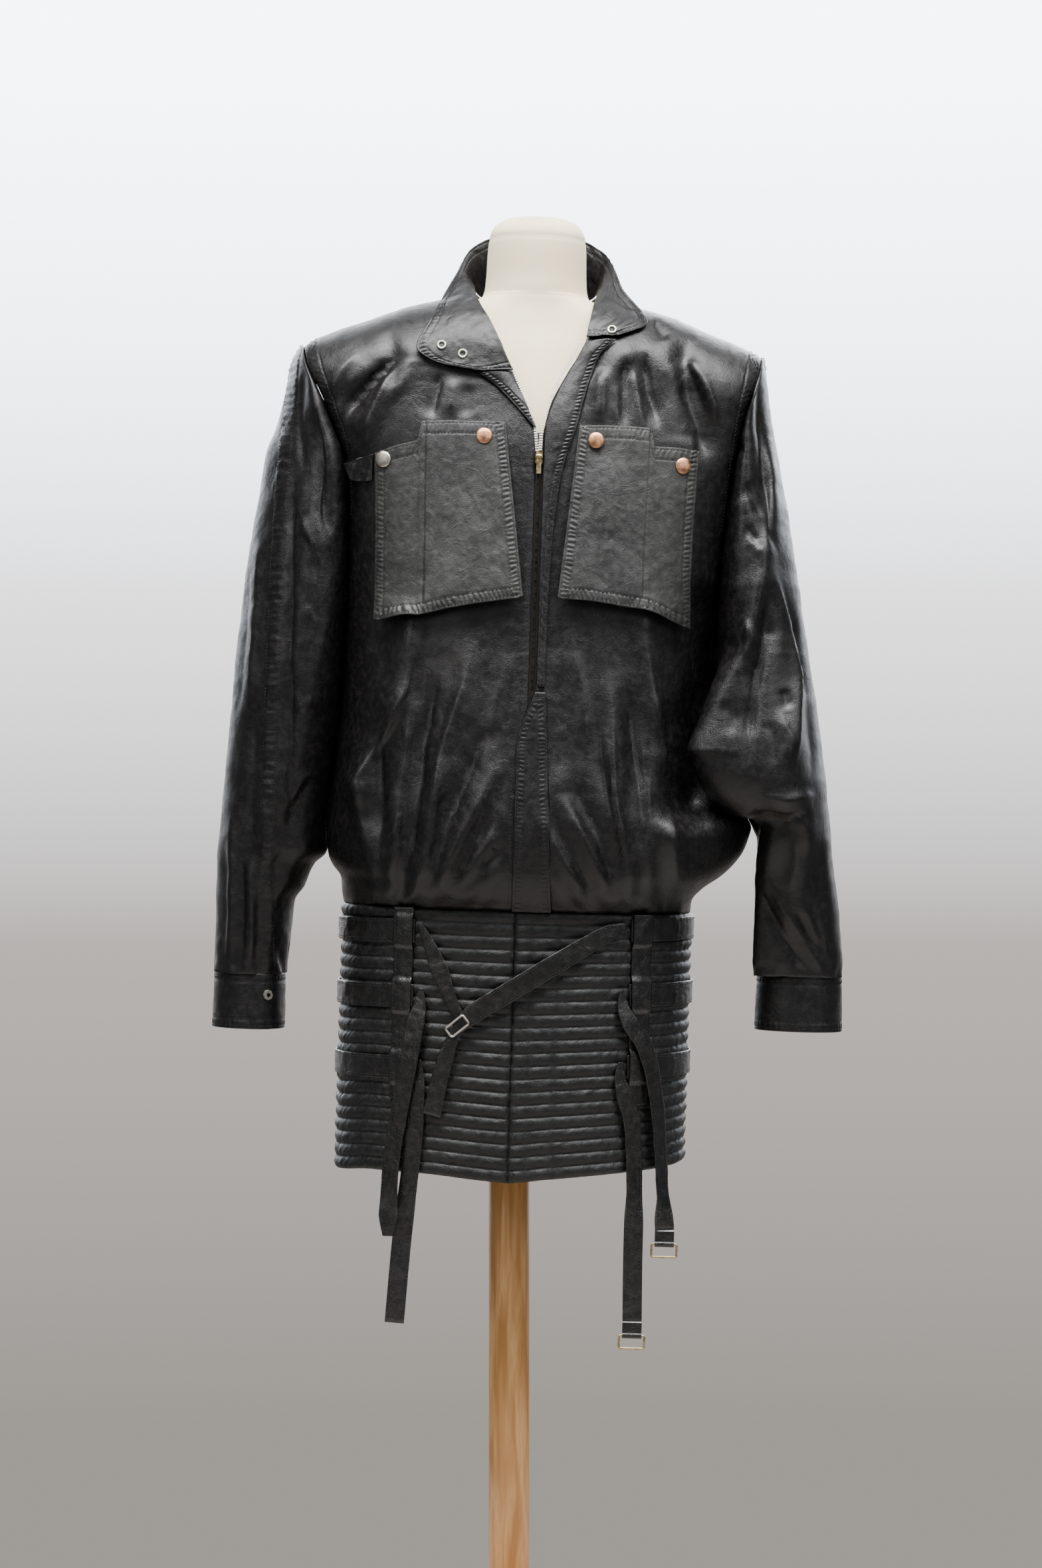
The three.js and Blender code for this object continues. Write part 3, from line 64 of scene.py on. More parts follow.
# Blouson jacket of thin black leather on a dress form. Sizes are in millimetres in the jacket's own
# frame: x across, y front to back, z up from the hem. world() puts them in the part's frame in metres.
HEM_HEIGHT = 540
LEAN = math.radians(1.75)
WALL = 1.5
SEAM = 0.3
BAND = {"height": 265, "wall": 2, "side": 173, "front": 120, "back": 117, "power": 2.3}
RIBS = {"count": 21, "rise": 3.0, "groove": 0.4}
STRAP = {"width": 23, "thick": 1.8, "lift": 3.8, "tail": 19, "from": -97.6, "to": 110.6}
LOOPS = {"width": 18, "thick": 1.5, "bottom": 78, "left": -108, "right": 121}
CUFF = {"height": 54, "wall": 2, "overlap": 3, "flare": 1.5}
LAP_START = {"left": 2.1, "right": 0.6}
POLE_RADIUS = 20.5
BASE = {"radius": 190, "height": 26}
NECK = {"x": 60, "y": 56}
SHOULDER_ROUND = 70
BODY_POWER = 2.6
BODY_LOW = BAND["height"] + 0.5
BODY = "jacket_and_form"


def curve(rows):
    """Smooth curve without overshoot through rows of place and value."""
    xs, ys = np.array(rows, float).T
    if len(xs) == 1:
        return lambda place: np.full(np.shape(place), ys[0])
    slopes = np.diff(ys) / np.diff(xs)
    tangents = np.concatenate([slopes[:1], np.zeros(len(xs) - 2), slopes[-1:]])
    a, b = slopes[:-1], slopes[1:]
    same = a * b > 0
    tangents[1:-1][same] = (2 * a * b)[same] / (a + b)[same]

    def value(place):
        p = np.clip(np.asarray(place, float), xs[0], xs[-1])
        i = np.clip(np.searchsorted(xs, p, side="right") - 1, 0, len(xs) - 2)
        step = xs[i + 1] - xs[i]
        t = (p - xs[i]) / step
        return ((1 + 2 * t) * (1 - t) ** 2 * ys[i] + t * t * (3 - 2 * t) * ys[i + 1]
                + t * (1 - t) ** 2 * step * tangents[i] + t * t * (t - 1) * step * tangents[i + 1])
    return value


def smooth(t):
    t = np.clip(t, 0, 1)
    return t * t * (3 - 2 * t)


def lerp(a, b, t):
    return a + (b - a) * t


# Shoulder line, half depths of the body and depth of the valley beside the sleeves.
shoulder = curve([(0, 886), (76, 880), (92, 875), (130, 865), (170, 850), (202, 838), (224, 828), (236, 818)])
DEPTH = {
    "front": curve([(265, 121), (280, 133), (305, 144), (345, 148), (430, 141), (540, 130), (640, 124),
                    (720, 116), (800, 98), (886, 84)]),
    "back": curve([(265, 118), (280, 128), (305, 137), (345, 140), (430, 134), (540, 121), (640, 113),
                   (720, 109), (800, 98), (886, 86)]),
}
valley_depth = curve([(300, 0.3), (330, 5), (400, 13), (500, 27), (600, 45), (690, 60), (760, 72), (830, 75)])

# How far the band's hem is pulled up from its lowest place, across its front and its back.
HEM_LIFT = {
    "front": curve([(-173, 0), (-133, 6), (-92, 6), (-26, 1.5), (-2, 0), (35, 4), (108, 11), (152, 15),
                    (173, 18)]),
    "back": curve([(-173, 0), (0, 7), (173, 18)]),
}

# Outlines of each side at each height: body, sleeve's inner and outer edge, depth, overhang, neck edge.
SIDES = {
    "left": {
        "sign": -1, "underarm": 312,
        "body": [(265, 174), (277, 177), (290, 178), (303, 187), (312, 191), (335, 194), (365, 191),
                 (420, 185), (500, 180), (600, 178), (690, 181), (755, 203), (805, 226), (826, 231)],
        "inner": [(192, 231), (215, 229), (245, 226), (266, 224), (280, 215), (296, 209), (312, 200)],
        "outer": [(192, 303), (300, 303), (367, 299.5), (434, 295), (501, 291), (568, 285.5), (636, 278),
                  (676, 272), (716, 266), (743, 257), (784, 247.5), (808, 243), (820, 237), (826, 234)],
        "depth": [(192, 42), (230, 47), (312, 57), (400, 64), (500, 65), (600, 58), (700, 44), (760, 28),
                  (826, 14)],
        "edge": [(312, 300)],
        "neck": [(735, 4), (745, 0), (775, -12), (815, -31), (843, -45), (862, -55), (882, -62)],
    },
    "right": {
        "sign": 1, "underarm": 350,
        "body": [(265, 174), (276, 175), (288, 184), (302, 203), (316, 217), (329, 226), (343, 231),
                 (352, 233), (368, 225), (390, 213), (415, 201), (450, 193), (520, 189), (600, 191),
                 (690, 199), (755, 209), (805, 224), (826, 228)],
        "inner": [(205, 243), (276, 242.5), (316, 241), (338, 240), (350, 238)],
        "outer": [(205, 329.5), (225, 329), (279, 322.5), (319, 316), (359, 311.5), (412, 304.5),
                  (465, 297), (519, 287), (572, 277), (639, 266), (705, 253), (759, 242), (799, 235.5),
                  (818, 233), (826, 231)],
        "depth": [(205, 35), (245, 42), (300, 54), (350, 78), (415, 96), (500, 84), (600, 66), (700, 46),
                  (760, 28), (826, 14)],
        "edge": [(352, 236), (360, 228), (367, 206), (388, 180), (424, 163), (428, 161), (432, 162.6),
                 (460, 173), (503, 188), (542, 203), (600, 222), (640, 236)],
        "neck": [(735, 12), (761, 18), (792, 33), (826, 51), (862, 57), (882, 62)],
    },
}
for side in SIDES.values():
    side["cuff_top"] = side["inner"][0][0]
    for key in ("body", "inner", "outer", "depth", "edge", "neck"):
        side[key] = curve(side[key])

# Large folds between two points: x0, z0, x1, z1, width, rise.
FOLDS = {
    "front": [
        (-158, 390, -118, 530, 17, 16), (-146, 268, -158, 390, 11, 9), (-131, 268, -111, 440, 11, 8),
        (-98, 268, -57, 500, 12, 9), (-79, 268, -28, 400, 11, 8), (-60, 268, -18, 350, 9, 7),
        (-41, 268, -16, 316, 8, 4), (46, 268, 28, 326, 8, 4), (72, 268, 30, 347, 10, 7),
        (98, 268, 41, 383, 11, 8), (114, 268, 86, 467, 12, 9), (134, 268, 123, 409, 11, 7),
        (160, 268, 118, 542, 12, 10), (170, 380, 178, 560, 26, -38), (84, 800, 66, 752, 11, 6),
        (147, 808, 176, 742, 12, -9), (-135, 804, -191, 738, 12, -9), (-128, 800, -158, 740, 11, 5),
    ],
    "back": [
        (-150, 268, -126, 420, 12, 9), (-112, 268, -96, 400, 11, 8), (-70, 268, -60, 430, 11, 9),
        (-24, 268, -18, 400, 11, 8), (22, 268, 24, 420, 11, 9), (66, 268, 60, 390, 11, 8),
        (108, 268, 96, 430, 11, 9), (152, 268, 130, 410, 12, 8), (-168, 742, -110, 600, 14, 8),
        (172, 742, 116, 590, 14, 8),
    ],
}
SLEEVE_FOLDS = {
    "left": [(0.3, 740, 0.42, 500, 0.11, 7), (0.2, 560, 0.45, 380, 0.1, 8), (0.25, 320, 0.32, 200, 0.07, 5),
             (0.5, 330, 0.5, 200, 0.07, 5), (0.75, 320, 0.7, 200, 0.07, 5)],
    "right": [(0.72, 700, 0.14, 430, 0.1, 12), (0.95, 600, 0.5, 372, 0.1, 11), (0.6, 350, 0.4, 240, 0.09, 7),
              (0.3, 330, 0.22, 215, 0.08, 5), (0.8, 320, 0.75, 215, 0.08, 5)],
}

# Creases placed on the front: width, rise (a trough is negative), points x, z.
CREASES = {
    "front": [
        (5.5, 4.0, [(-103, 547), (-114, 479), (-136, 430), (-160, 388), (-144, 294)]),
        (4.5, 3.0, [(-110, 479), (-111, 414), (-117, 354), (-129, 283)]),
        (5, 3.6, [(-46, 528), (-57, 484), (-78, 415), (-85, 344), (-95, 287)]),
        (5, 3.2, [(-16, 417), (-35, 375), (-66, 315), (-77, 281)]),
        (4, 2.6, [(-14, 348), (-37, 318), (-59, 282)]),
        (3.5, 2.0, [(-13, 316), (-27, 295), (-38, 280)]),
        (7, -4.0, [(-134, 470), (-140, 430), (-136, 370), (-138, 300)]),
        (8, -5.0, [(-84, 500), (-95, 430), (-101, 360), (-112, 290)]),
        (7, -4.0, [(-32, 450), (-50, 400), (-72, 345), (-84, 288)]),
        (5, -3.0, [(-22, 362), (-46, 325), (-68, 284)]),
        (4, -2.2, [(-12, 330), (-32, 308), (-48, 282)]),
        (5, 3.4, [(41, 383), (66, 333), (92, 284)]),
        (4, 2.8, [(25, 347), (49, 309), (68, 283)]),
        (3.5, 2.0, [(22, 326), (41, 285)]),
        (5, 3.4, [(86, 467), (91, 379), (109, 302)]),
        (5.5, 3.8, [(116, 542), (131, 460), (144, 403), (156, 292)]),
        (4, 2.4, [(123, 409), (128, 291)]),
        (6, -3.6, [(48, 400), (74, 350), (98, 290)]),
        (4, -2.4, [(34, 348), (58, 309), (78, 282)]),
        (8, -5.0, [(100, 500), (112, 430), (122, 360), (124, 300)]),
        (5, -3.0, [(72, 470), (78, 410), (96, 330), (100, 292)]),
        (6, -3.4, [(142, 470), (148, 400), (150, 330)]),
        (4, 2.0, [(-8, 520), (-24, 470), (-30, 430)]),
        (5, 2.2, [(42, 540), (58, 480), (64, 420)]),
        (7, 4.0, [(68, 802), (67, 740)]),
        (4, -2.8, [(90, 818), (92, 760), (92, 735)]),
        (4, 2.4, [(82, 786), (83, 742)]),
        (6, 3.2, [(97, 804), (105, 762), (110, 735)]),
        (6, -4.8, [(107, 820), (114, 781), (121, 762), (126, 738)]),
        (10, -6.0, [(141, 806), (155, 778), (167, 745), (172, 712)]),
        (5, 4.5, [(142, 812), (158, 807), (170, 788), (178, 768), (184, 746)]),
        (5, -3.5, [(117, 856), (125, 845), (133, 832)]),
        (8, -6.0, [(-132, 808), (-150, 788), (-172, 762), (-188, 742)]),
        (7, 4.5, [(-126, 806), (-142, 780), (-158, 744), (-164, 716)]),
        (5, -3.2, [(-90, 792), (-96, 757), (-98, 742)]),
        (5, 2.6, [(-76, 786), (-80, 745)]),
        (4, -2.0, [(-62, 780), (-64, 744)]),
        (6, 2.6, [(-172, 812), (-190, 786), (-202, 762)]),
    ],
    "back": [
        (6, 3.6, [(-120, 560), (-131, 470), (-140, 390), (-150, 290)]),
        (6, -4.0, [(-102, 500), (-116, 420), (-128, 350), (-132, 290)]),
        (5, 3.2, [(-84, 480), (-98, 400), (-108, 290)]),
        (6, -3.6, [(-72, 440), (-84, 370), (-90, 286)]),
        (5, 3.0, [(-52, 470), (-62, 400), (-68, 284)]),
        (5, -3.0, [(-30, 420), (-40, 350), (-46, 284)]),
        (4, 2.6, [(-12, 440), (-20, 370), (-24, 284)]),
        (5, -3.0, [(4, 400), (2, 340), (0, 284)]),
        (4.5, 2.8, [(22, 450), (24, 370), (20, 286)]),
        (5, -3.2, [(38, 420), (44, 350), (45, 284)]),
        (5, 3.0, [(56, 430), (62, 360), (66, 286)]),
        (6, -3.8, [(76, 470), (84, 380), (88, 286)]),
        (5, 3.2, [(92, 450), (98, 370), (108, 288)]),
        (7, -4.2, [(108, 520), (118, 430), (130, 330), (130, 290)]),
        (6, 3.6, [(124, 560), (132, 470), (142, 380), (152, 290)]),
        (8, 5.0, [(-176, 760), (-150, 690), (-112, 610), (-90, 540)]),
        (8, -5.0, [(-164, 780), (-136, 720), (-96, 640)]),
        (8, 5.0, [(180, 750), (152, 682), (118, 600), (96, 530)]),
        (8, -5.0, [(168, 776), (140, 712), (100, 630)]),
        (5, -2.6, [(-60, 836), (-48, 790), (-44, 750)]),
        (5, -2.6, [(58, 838), (50, 788), (40, 742)]),
        (6, 2.6, [(-20, 820), (-14, 760), (-18, 700)]),
        (6, 2.4, [(26, 800), (22, 740), (26, 690)]),
        (7, -3.0, [(-40, 640), (0, 600), (44, 580)]),
    ],
    "sleeve_left": [
        (5, -5.0, [(-229, 804), (-232, 735), (-224, 690)]),
        (9, -8.0, [(-216, 762), (-212, 735), (-200, 668), (-195, 620)]),
        (5, -5.0, [(-238, 760), (-234, 640), (-232, 530), (-227, 400), (-225, 300)]),
        (5, 2.8, [(-226, 650), (-214, 622), (-205, 596)]),
        (4, -2.6, [(-222, 636), (-210, 606), (-204, 580)]),
        (4, 2.0, [(-216, 560), (-206, 538)]),
        (6, -3.0, [(-276, 600), (-280, 520), (-284, 440)]),
        (6, 3.4, [(-266, 640), (-268, 540), (-272, 430)]),
        (5, -2.6, [(-262, 470), (-264, 380), (-266, 300)]),
        (5, 2.6, [(-210, 396), (-222, 376), (-232, 352)]),
        (4, -3.0, [(-206, 388), (-218, 366), (-228, 340)]),
        (4, 2.2, [(-208, 470), (-218, 452)]),
        (5, 3.0, [(-288, 360), (-284, 300), (-282, 200)]),
        (4, -3.0, [(-292, 330), (-291, 260), (-292, 196)]),
        (4, 3.0, [(-266, 320), (-262, 250), (-262, 196)]),
        (4, -3.4, [(-274, 320), (-272, 250), (-272, 196)]),
        (4, 2.6, [(-246, 300), (-244, 240), (-243, 196)]),
        (4, -3.0, [(-254, 310), (-253, 250), (-252, 196)]),
    ],
    "sleeve_right": [
        (6, -8.0, [(222, 818), (229, 766), (234, 710), (240, 653), (250, 612)]),
        (6, 6.0, [(238, 616), (262, 557), (273, 506), (269, 436), (264, 396)]),
        (7, -7.0, [(247, 604), (270, 545), (285, 490), (290, 430), (286, 396)]),
        (7, -8.0, [(239, 604), (240, 546), (229, 495), (224, 461), (218, 400)]),
        (5, -4.2, [(192, 752), (198, 742), (210, 720)]),
        (5, -3.6, [(212, 694), (222, 676), (231, 660)]),
        (4, -3.2, [(215, 650), (226, 634)]),
        (4, 2.6, [(214, 640), (226, 626), (234, 628)]),
        (7, 6.0, [(232, 386), (262, 381), (291, 389)]),
        (8, -10.0, [(224, 368), (258, 360), (288, 370)]),
        (3.5, 3.6, [(243, 310), (256, 288), (268, 269), (286, 246), (301, 222), (310, 204)]),
        (6, -5.0, [(236, 300), (250, 272), (262, 252), (282, 226), (298, 206)]),
        (4, 2.6, [(284, 282), (292, 262), (304, 238)]),
        (3.5, -2.6, [(278, 276), (290, 250), (300, 232)]),
        (4, 2.4, [(296, 276), (306, 254), (312, 226)]),
        (5, 3.0, [(272, 350), (276, 320), (270, 290)]),
        (5, 3.6, [(250, 470), (262, 440), (258, 410)]),
        (4, -2.8, [(240, 462), (250, 436), (248, 412)]),
        (5, -3.0, [(256, 492), (262, 470)]),
        (5, 2.6, [(214, 560), (222, 540), (218, 516)]),
        (4, -2.2, [(196, 480), (206, 462), (202, 440)]),
    ],
}


def world(p):
    x, y, z = np.moveaxis(np.asarray(p, float), -1, 0)
    turned = (x * math.cos(LEAN) + z * math.sin(LEAN), y,
              HEM_HEIGHT - x * math.sin(LEAN) + z * math.cos(LEAN))
    return np.stack(turned, -1) / 1000


def noise(x, y, size, seed):
    """Smooth seeded noise from -1 to 1 with lumps of the given size."""
    table = np.random.default_rng(seed).uniform(-1, 1, (64, 64))
    u, v = np.asarray(x) / size, np.asarray(y) / size
    i, j = np.floor(u).astype(int), np.floor(v).astype(int)
    fu, fv = smooth(u - i), smooth(v - j)
    i, j, k, m = i % 64, j % 64, (i + 1) % 64, (j + 1) % 64
    return lerp(lerp(table[i, j], table[k, j], fu), lerp(table[i, m], table[k, m], fu), fv)


def ridges(rows, x, z, reach=40):
    rise = np.zeros(np.shape(x))
    for x0, z0, x1, z1, width, high in rows:
        t = np.clip((z - z0) / (z1 - z0), 0, 1)
        beyond = np.abs(z - lerp(z0, z1, t))
        off = (x - lerp(x0, x1, t)) / width
        rise += high * np.exp(-off * off) * smooth(1 - beyond / reach) * (1 - 0.55 * t)
    return rise


def creases(rows, x, z):
    """Soft ridges and troughs along lines of points, sharper on one side, fading at both ends."""
    rise = np.zeros(np.shape(x))
    for width, high, points in rows:
        points = np.array(points, float)
        steps = np.linalg.norm(np.diff(points, axis=0), axis=1)
        before = np.concatenate([[0], np.cumsum(steps)])
        near = np.full(np.shape(x), 1e9)
        place = np.zeros(np.shape(x))
        lean = np.zeros(np.shape(x))
        for i, step in enumerate(steps):
            dx, dz = (points[i + 1] - points[i]) / step
            t = np.clip((x - points[i, 0]) * dx + (z - points[i, 1]) * dz, 0, step)
            ox, oz = x - points[i, 0] - t * dx, z - points[i, 1] - t * dz
            off = np.hypot(ox, oz)
            closer = off < near
            near = np.where(closer, off, near)
            place = np.where(closer, before[i] + t, place)
            lean = np.where(closer, np.sign(ox * dz - oz * dx), lean)
        part = place / before[-1]
        wide = width * np.where(lean > 0, 1.5, 0.7) * (1 + 0.3 * noise(x, z, 30, 5))
        fade = smooth(part / 0.3 + 0.05) * smooth((1 - part) / 0.3 + 0.05)
        crest = np.exp(-1.3 * (np.sqrt((near / wide) ** 2 + 0.1) - 0.316))
        rise += high * crest * fade * (1 + 0.25 * noise(x, z, 22, 6))
    return rise


def shoulder_round(x, z):
    t = 1 - np.clip(shoulder(np.abs(x)) - z, 0, SHOULDER_ROUND) / SHOULDER_ROUND
    return np.sqrt(1 - t * t)


def body_y(x, z, face):
    x, z = np.broadcast_arrays(np.asarray(x, float), np.asarray(z, float))
    left, right = SIDES["left"], SIDES["right"]
    on_left = x < 0
    across = np.clip(np.abs(x) / np.where(on_left, left["body"](z), right["body"](z)), 0, 1)
    valley = valley_depth(z - np.where(on_left, left["underarm"], right["underarm"]) + 312)
    deep = DEPTH[face](z)
    bulge = np.sqrt(1 - across ** BODY_POWER)
    warp = 7 * noise(x, z, 46, 7) + 2.5 * noise(x, z, 19, 8)
    rise = ridges(FOLDS[face], x + warp, z) * (1 + 0.3 * noise(x, z, 38, 9))
    fold = rise * (1 - across ** np.where(rise < 0, 40, 10)) * smooth((z - 262) / 22)
    y = (valley + (deep - valley) * bulge) * shoulder_round(x, z) + SEAM / 2 + fold
    return -y if face == "front" else y


def front_points(x, z, out):
    """Points on the front's outer face, moved out along its normal."""
    d = 2
    slope_x = (body_y(x + d, z, "front") - body_y(x - d, z, "front")) / (2 * d)
    slope_z = (body_y(x, z + d, "front") - body_y(x, z - d, "front")) / (2 * d)
    facing = unit(np.stack([slope_x, -np.ones_like(slope_x), slope_z], -1))
    return np.stack([x, body_y(x, z, "front"), z], -1) + facing * (out + 0 * x)[..., None]


def on_band(x, z, face, out):
    x, z, out = np.broadcast_arrays(np.asarray(x, float), np.asarray(z, float), np.asarray(out, float))
    wide, deep, p = BAND["side"], BAND[face], BAND["power"]
    across = np.minimum(1, np.abs(x) / wide)
    forward = (1 - across ** p) ** (1 / p)
    normal = np.stack([np.sign(x) * across ** (p - 1) / wide, forward ** (p - 1) / deep, 0 * x], -1)
    normal /= np.linalg.norm(normal, axis=-1, keepdims=True)
    point = np.stack([np.sign(x) * across * wide, forward * deep, z], -1) + normal * out[..., None]
    if face == "front":
        point[..., 1] *= -1
    return point


# Grids and the meshes made from them

def unit(v):
    return v / np.maximum(np.linalg.norm(v, axis=-1, keepdims=True), 1e-9)


def normals_of(grid, side, ridge=False):
    normal = unit(np.cross(np.gradient(grid, axis=1), np.gradient(grid, axis=0))) * side
    if ridge:
        normal[-1] = (0, 0, 1)
    return normal


def arcs(grid, axis):
    """Distance along the rows (axis 1) or the columns (axis 0) from their first point."""
    step = np.linalg.norm(np.diff(grid, axis=axis), axis=2)
    return np.insert(np.cumsum(step, axis=axis), 0, 0, axis=axis)


def build(name, points, faces, material, body=BODY, smooth_faces=True, local=True):
    """Mesh object from points and lists of faces with the same number of corners."""
    points = world(points) if local else np.asarray(points, float)
    mesh = bpy.data.meshes.new(name)
    mesh.vertices.add(len(points))
    mesh.vertices.foreach_set("co", points.ravel())
    loops = np.concatenate([np.asarray(f).ravel() for f in faces]).astype(np.int32)
    sizes = np.concatenate([np.full(len(f), np.shape(f)[1]) for f in faces])
    mesh.loops.add(len(loops))
    mesh.loops.foreach_set("vertex_index", loops)
    mesh.polygons.add(len(sizes))
    mesh.polygons.foreach_set("loop_start", (np.cumsum(sizes) - sizes).astype(np.int32))
    mesh.polygons.foreach_set("use_smooth", np.full(len(sizes), smooth_faces))
    mesh.update(calc_edges=True)
    mesh.validate()
    mesh.materials.append(material)
    made = bpy.data.objects.new(name, mesh)
    bpy.context.scene.collection.objects.link(made)
    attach(made, body)
    return made


def turned_out(points, faces):
    """The faces, turned so that they point out of the closed body."""
    volume = 0
    for f in faces:
        f = np.asarray(f)
        for k in range(1, f.shape[1] - 1):
            a, b, c = points[f[:, 0]], points[f[:, k]], points[f[:, k + 1]]
            volume += np.einsum("ij,ij->i", a, np.cross(b, c)).sum()
    return [np.asarray(f)[:, ::-1] for f in faces] if volume < 0 else faces


def quads(rows, cols, first=0):
    i, j = np.meshgrid(np.arange(rows - 1), np.arange(cols - 1), indexing="ij")
    a = (first + i * cols + j).ravel()
    return np.stack([a, a + 1, a + cols + 1, a + cols], -1)


def border(rows, cols):
    i, j = np.arange(rows - 1), np.arange(cols - 1)
    return np.concatenate([j, i * cols + cols - 1, (rows - 1) * cols + cols - 1 - j, (rows - 1 - i) * cols])


def shell(name, grid, normal, thick, material, coarse):
    """Thin cloth behind a fine grid, with a coarse inside and a rounded edge."""
    rows, cols = grid.shape[:2]
    inner = (grid - normal * thick)[::coarse, ::coarse]
    inner_rows, inner_cols = inner.shape[:2]
    out = np.zeros_like(grid)
    out[0] += grid[0] - grid[1]
    out[-1] += grid[-1] - grid[-2]
    out[:, 0] += grid[:, 0] - grid[:, 1]
    out[:, -1] += grid[:, -1] - grid[:, -2]
    edge = border(rows, cols)
    flat, flat_normal = grid.reshape(-1, 3), normal.reshape(-1, 3)
    middle = flat[edge] - flat_normal[edge] * thick / 2 + unit(out.reshape(-1, 3)[edge]) * thick * 0.3
    first_inner = rows * cols
    first_middle = first_inner + inner_rows * inner_cols
    n = len(edge)
    k = np.arange(n)
    mid, mid_next = first_middle + k, first_middle + (k + 1) % n
    inner_edge = first_inner + border(inner_rows, inner_cols)
    m = np.arange(len(inner_edge))
    fan = [first_middle + (m * coarse + coarse - q) % n for q in range(coarse + 1)]
    faces = [
        quads(rows, cols), quads(inner_rows, inner_cols, first_inner)[:, ::-1],
        np.stack([edge[(k + 1) % n], edge, mid, mid_next], -1),
        np.stack([*fan, inner_edge, inner_edge[(m + 1) % len(inner_edge)]], -1),
    ]
    points = np.concatenate([flat, inner.reshape(-1, 3), middle])
    return build(name, points, turned_out(points, faces), material, BODY)


def tube(name, rings, material, body=BODY, closed=False, local=True):
    """Closed body through rings of points, capped at both ends or joined into a loop."""
    rings = np.asarray(rings, float)
    count, size = rings.shape[:2]
    spans = count if closed else count - 1
    i, j = np.meshgrid(np.arange(spans), np.arange(size), indexing="ij")
    low, high = i * size, (i + 1) % count * size
    near, far = j, (j + 1) % size
    faces = [np.stack([low + near, low + far, high + far, high + near], -1).reshape(-1, 4)]
    points = rings.reshape(-1, 3)
    if not closed:
        faces.append(np.stack([np.arange(size)[::-1], (count - 1) * size + np.arange(size)]))
    return build(name, points, turned_out(points, faces), material, body, local=local)


def along_rows(grid, normal, distance, from_end, lift):
    """Line across the rows at a distance from their first or last point."""
    arc = arcs(grid, 1)
    line = []
    for i in range(len(grid)):
        d = arc[i, -1] - distance if from_end else distance
        j = int(np.clip(np.searchsorted(arc[i], d) - 1, 0, grid.shape[1] - 2))
        t = (d - arc[i, j]) / max(arc[i, j + 1] - arc[i, j], 1e-6)
        line.append(lerp(grid[i, j] + normal[i, j] * lift, grid[i, j + 1] + normal[i, j + 1] * lift, t))
    return np.array(line), normal[:, -1 if from_end else 0]


def turned(grid, normal):
    return np.swapaxes(grid, 0, 1), np.swapaxes(normal, 0, 1)


THREAD_SIDES = 3


def stitches(name, lines, material, pitch=3.4, length=2.3, radius=0.3):
    """Small threads, thick in the middle and dipping in at both ends, along lines on the cloth."""
    centres, ways, ups = [], [], []
    for points, up in lines:
        points, up = np.asarray(points), np.broadcast_to(up, np.shape(points))
        arc = np.insert(np.cumsum(np.linalg.norm(np.diff(points, axis=0), axis=1)), 0, 0)
        count = int(arc[-1] / pitch)
        if count < 1:
            continue
        places = (np.arange(count) + 0.5) * pitch
        centres.append(np.stack([np.interp(places, arc, points[:, k]) for k in range(3)], -1))
        ahead = np.stack([np.interp(places + 0.5, arc, points[:, k]) for k in range(3)], -1)
        behind = np.stack([np.interp(places - 0.5, arc, points[:, k]) for k in range(3)], -1)
        ways.append(unit(ahead - behind))
        ups.append(unit(np.stack([np.interp(places, arc, up[:, k]) for k in range(3)], -1)))
    centres, ways, ups = np.concatenate(centres), np.concatenate(ways), np.concatenate(ups)
    side = unit(np.cross(ways, ups))
    ups = np.cross(side, ways)
    points = [centres - ways * length / 2 - ups * 0.35]
    for t in (-0.28, 0.28):
        for k in range(THREAD_SIDES):
            turn = math.pi / 2 + 2 * math.pi * k / THREAD_SIDES
            points.append(centres + ways * length * t
                          + radius * (side * math.cos(turn) + ups * (math.sin(turn) + 0.3)))
    points.append(centres + ways * length / 2 - ups * 0.35)
    points = np.stack(points, 1)
    n = THREAD_SIDES
    first = np.arange(len(centres))[:, None] * (2 * n + 2)
    ends = [[0, 1 + (k + 1) % n, 1 + k] for k in range(n)]
    ends += [[2 * n + 1, n + 1 + k, n + 1 + (k + 1) % n] for k in range(n)]
    waist = [[1 + k, 1 + (k + 1) % n, n + 1 + (k + 1) % n, n + 1 + k] for k in range(n)]
    faces = [(first[:, None] + np.array(ends)[None]).reshape(-1, 3),
             (first[:, None] + np.array(waist)[None]).reshape(-1, 4)]
    points = points.reshape(-1, 3)
    return build(name, points, turned_out(points, faces), material)


def pucker(d, along, low, high, amount, seed, pitch=4.6):
    """Relief of a seam sewn with two rows: grooves at both and the gathered cloth between and beside."""
    grooves = -0.55 * (np.exp(-((d - low) / 0.9) ** 2) + np.exp(-((d - high) / 0.9) ** 2))
    inside = smooth((d - low) / 1.5) * smooth((high - d) / 1.5)
    phase = along / pitch + 0.9 * noise(along, d, 40, seed) + 0.3 * noise(along, d, 9, seed + 1)
    rope = np.sin(2 * math.pi * (phase + (d - low) / (high - low) * 0.4))
    beside = np.exp(-np.maximum(d - high, 0) / 5.0) * (d > high)
    shallow = noise(along, d * 0.35, 5.5, seed + 2)
    return grooves + amount * (rope * inside * (0.9 + 0.3 * noise(along, d, 14, seed + 3))
                               + 0.55 * shallow * beside)


def wrinkles(x, z, amount, seed):
    """Small soft unevenness of thin leather."""
    u = x + 6 * noise(x, z, 35, seed + 7)
    return amount * (noise(u, z, 21, seed) + 0.5 * noise(u, z, 10, seed + 1)
                     + 0.22 * noise(u, z, 5, seed + 2))


# Materials

def colour(hex_value):
    parts = [int(hex_value[i:i + 2], 16) / 255 for i in (0, 2, 4)]
    return tuple(c / 12.92 if c < 0.04045 else ((c + 0.055) / 1.055) ** 2.4 for c in parts) + (1,)


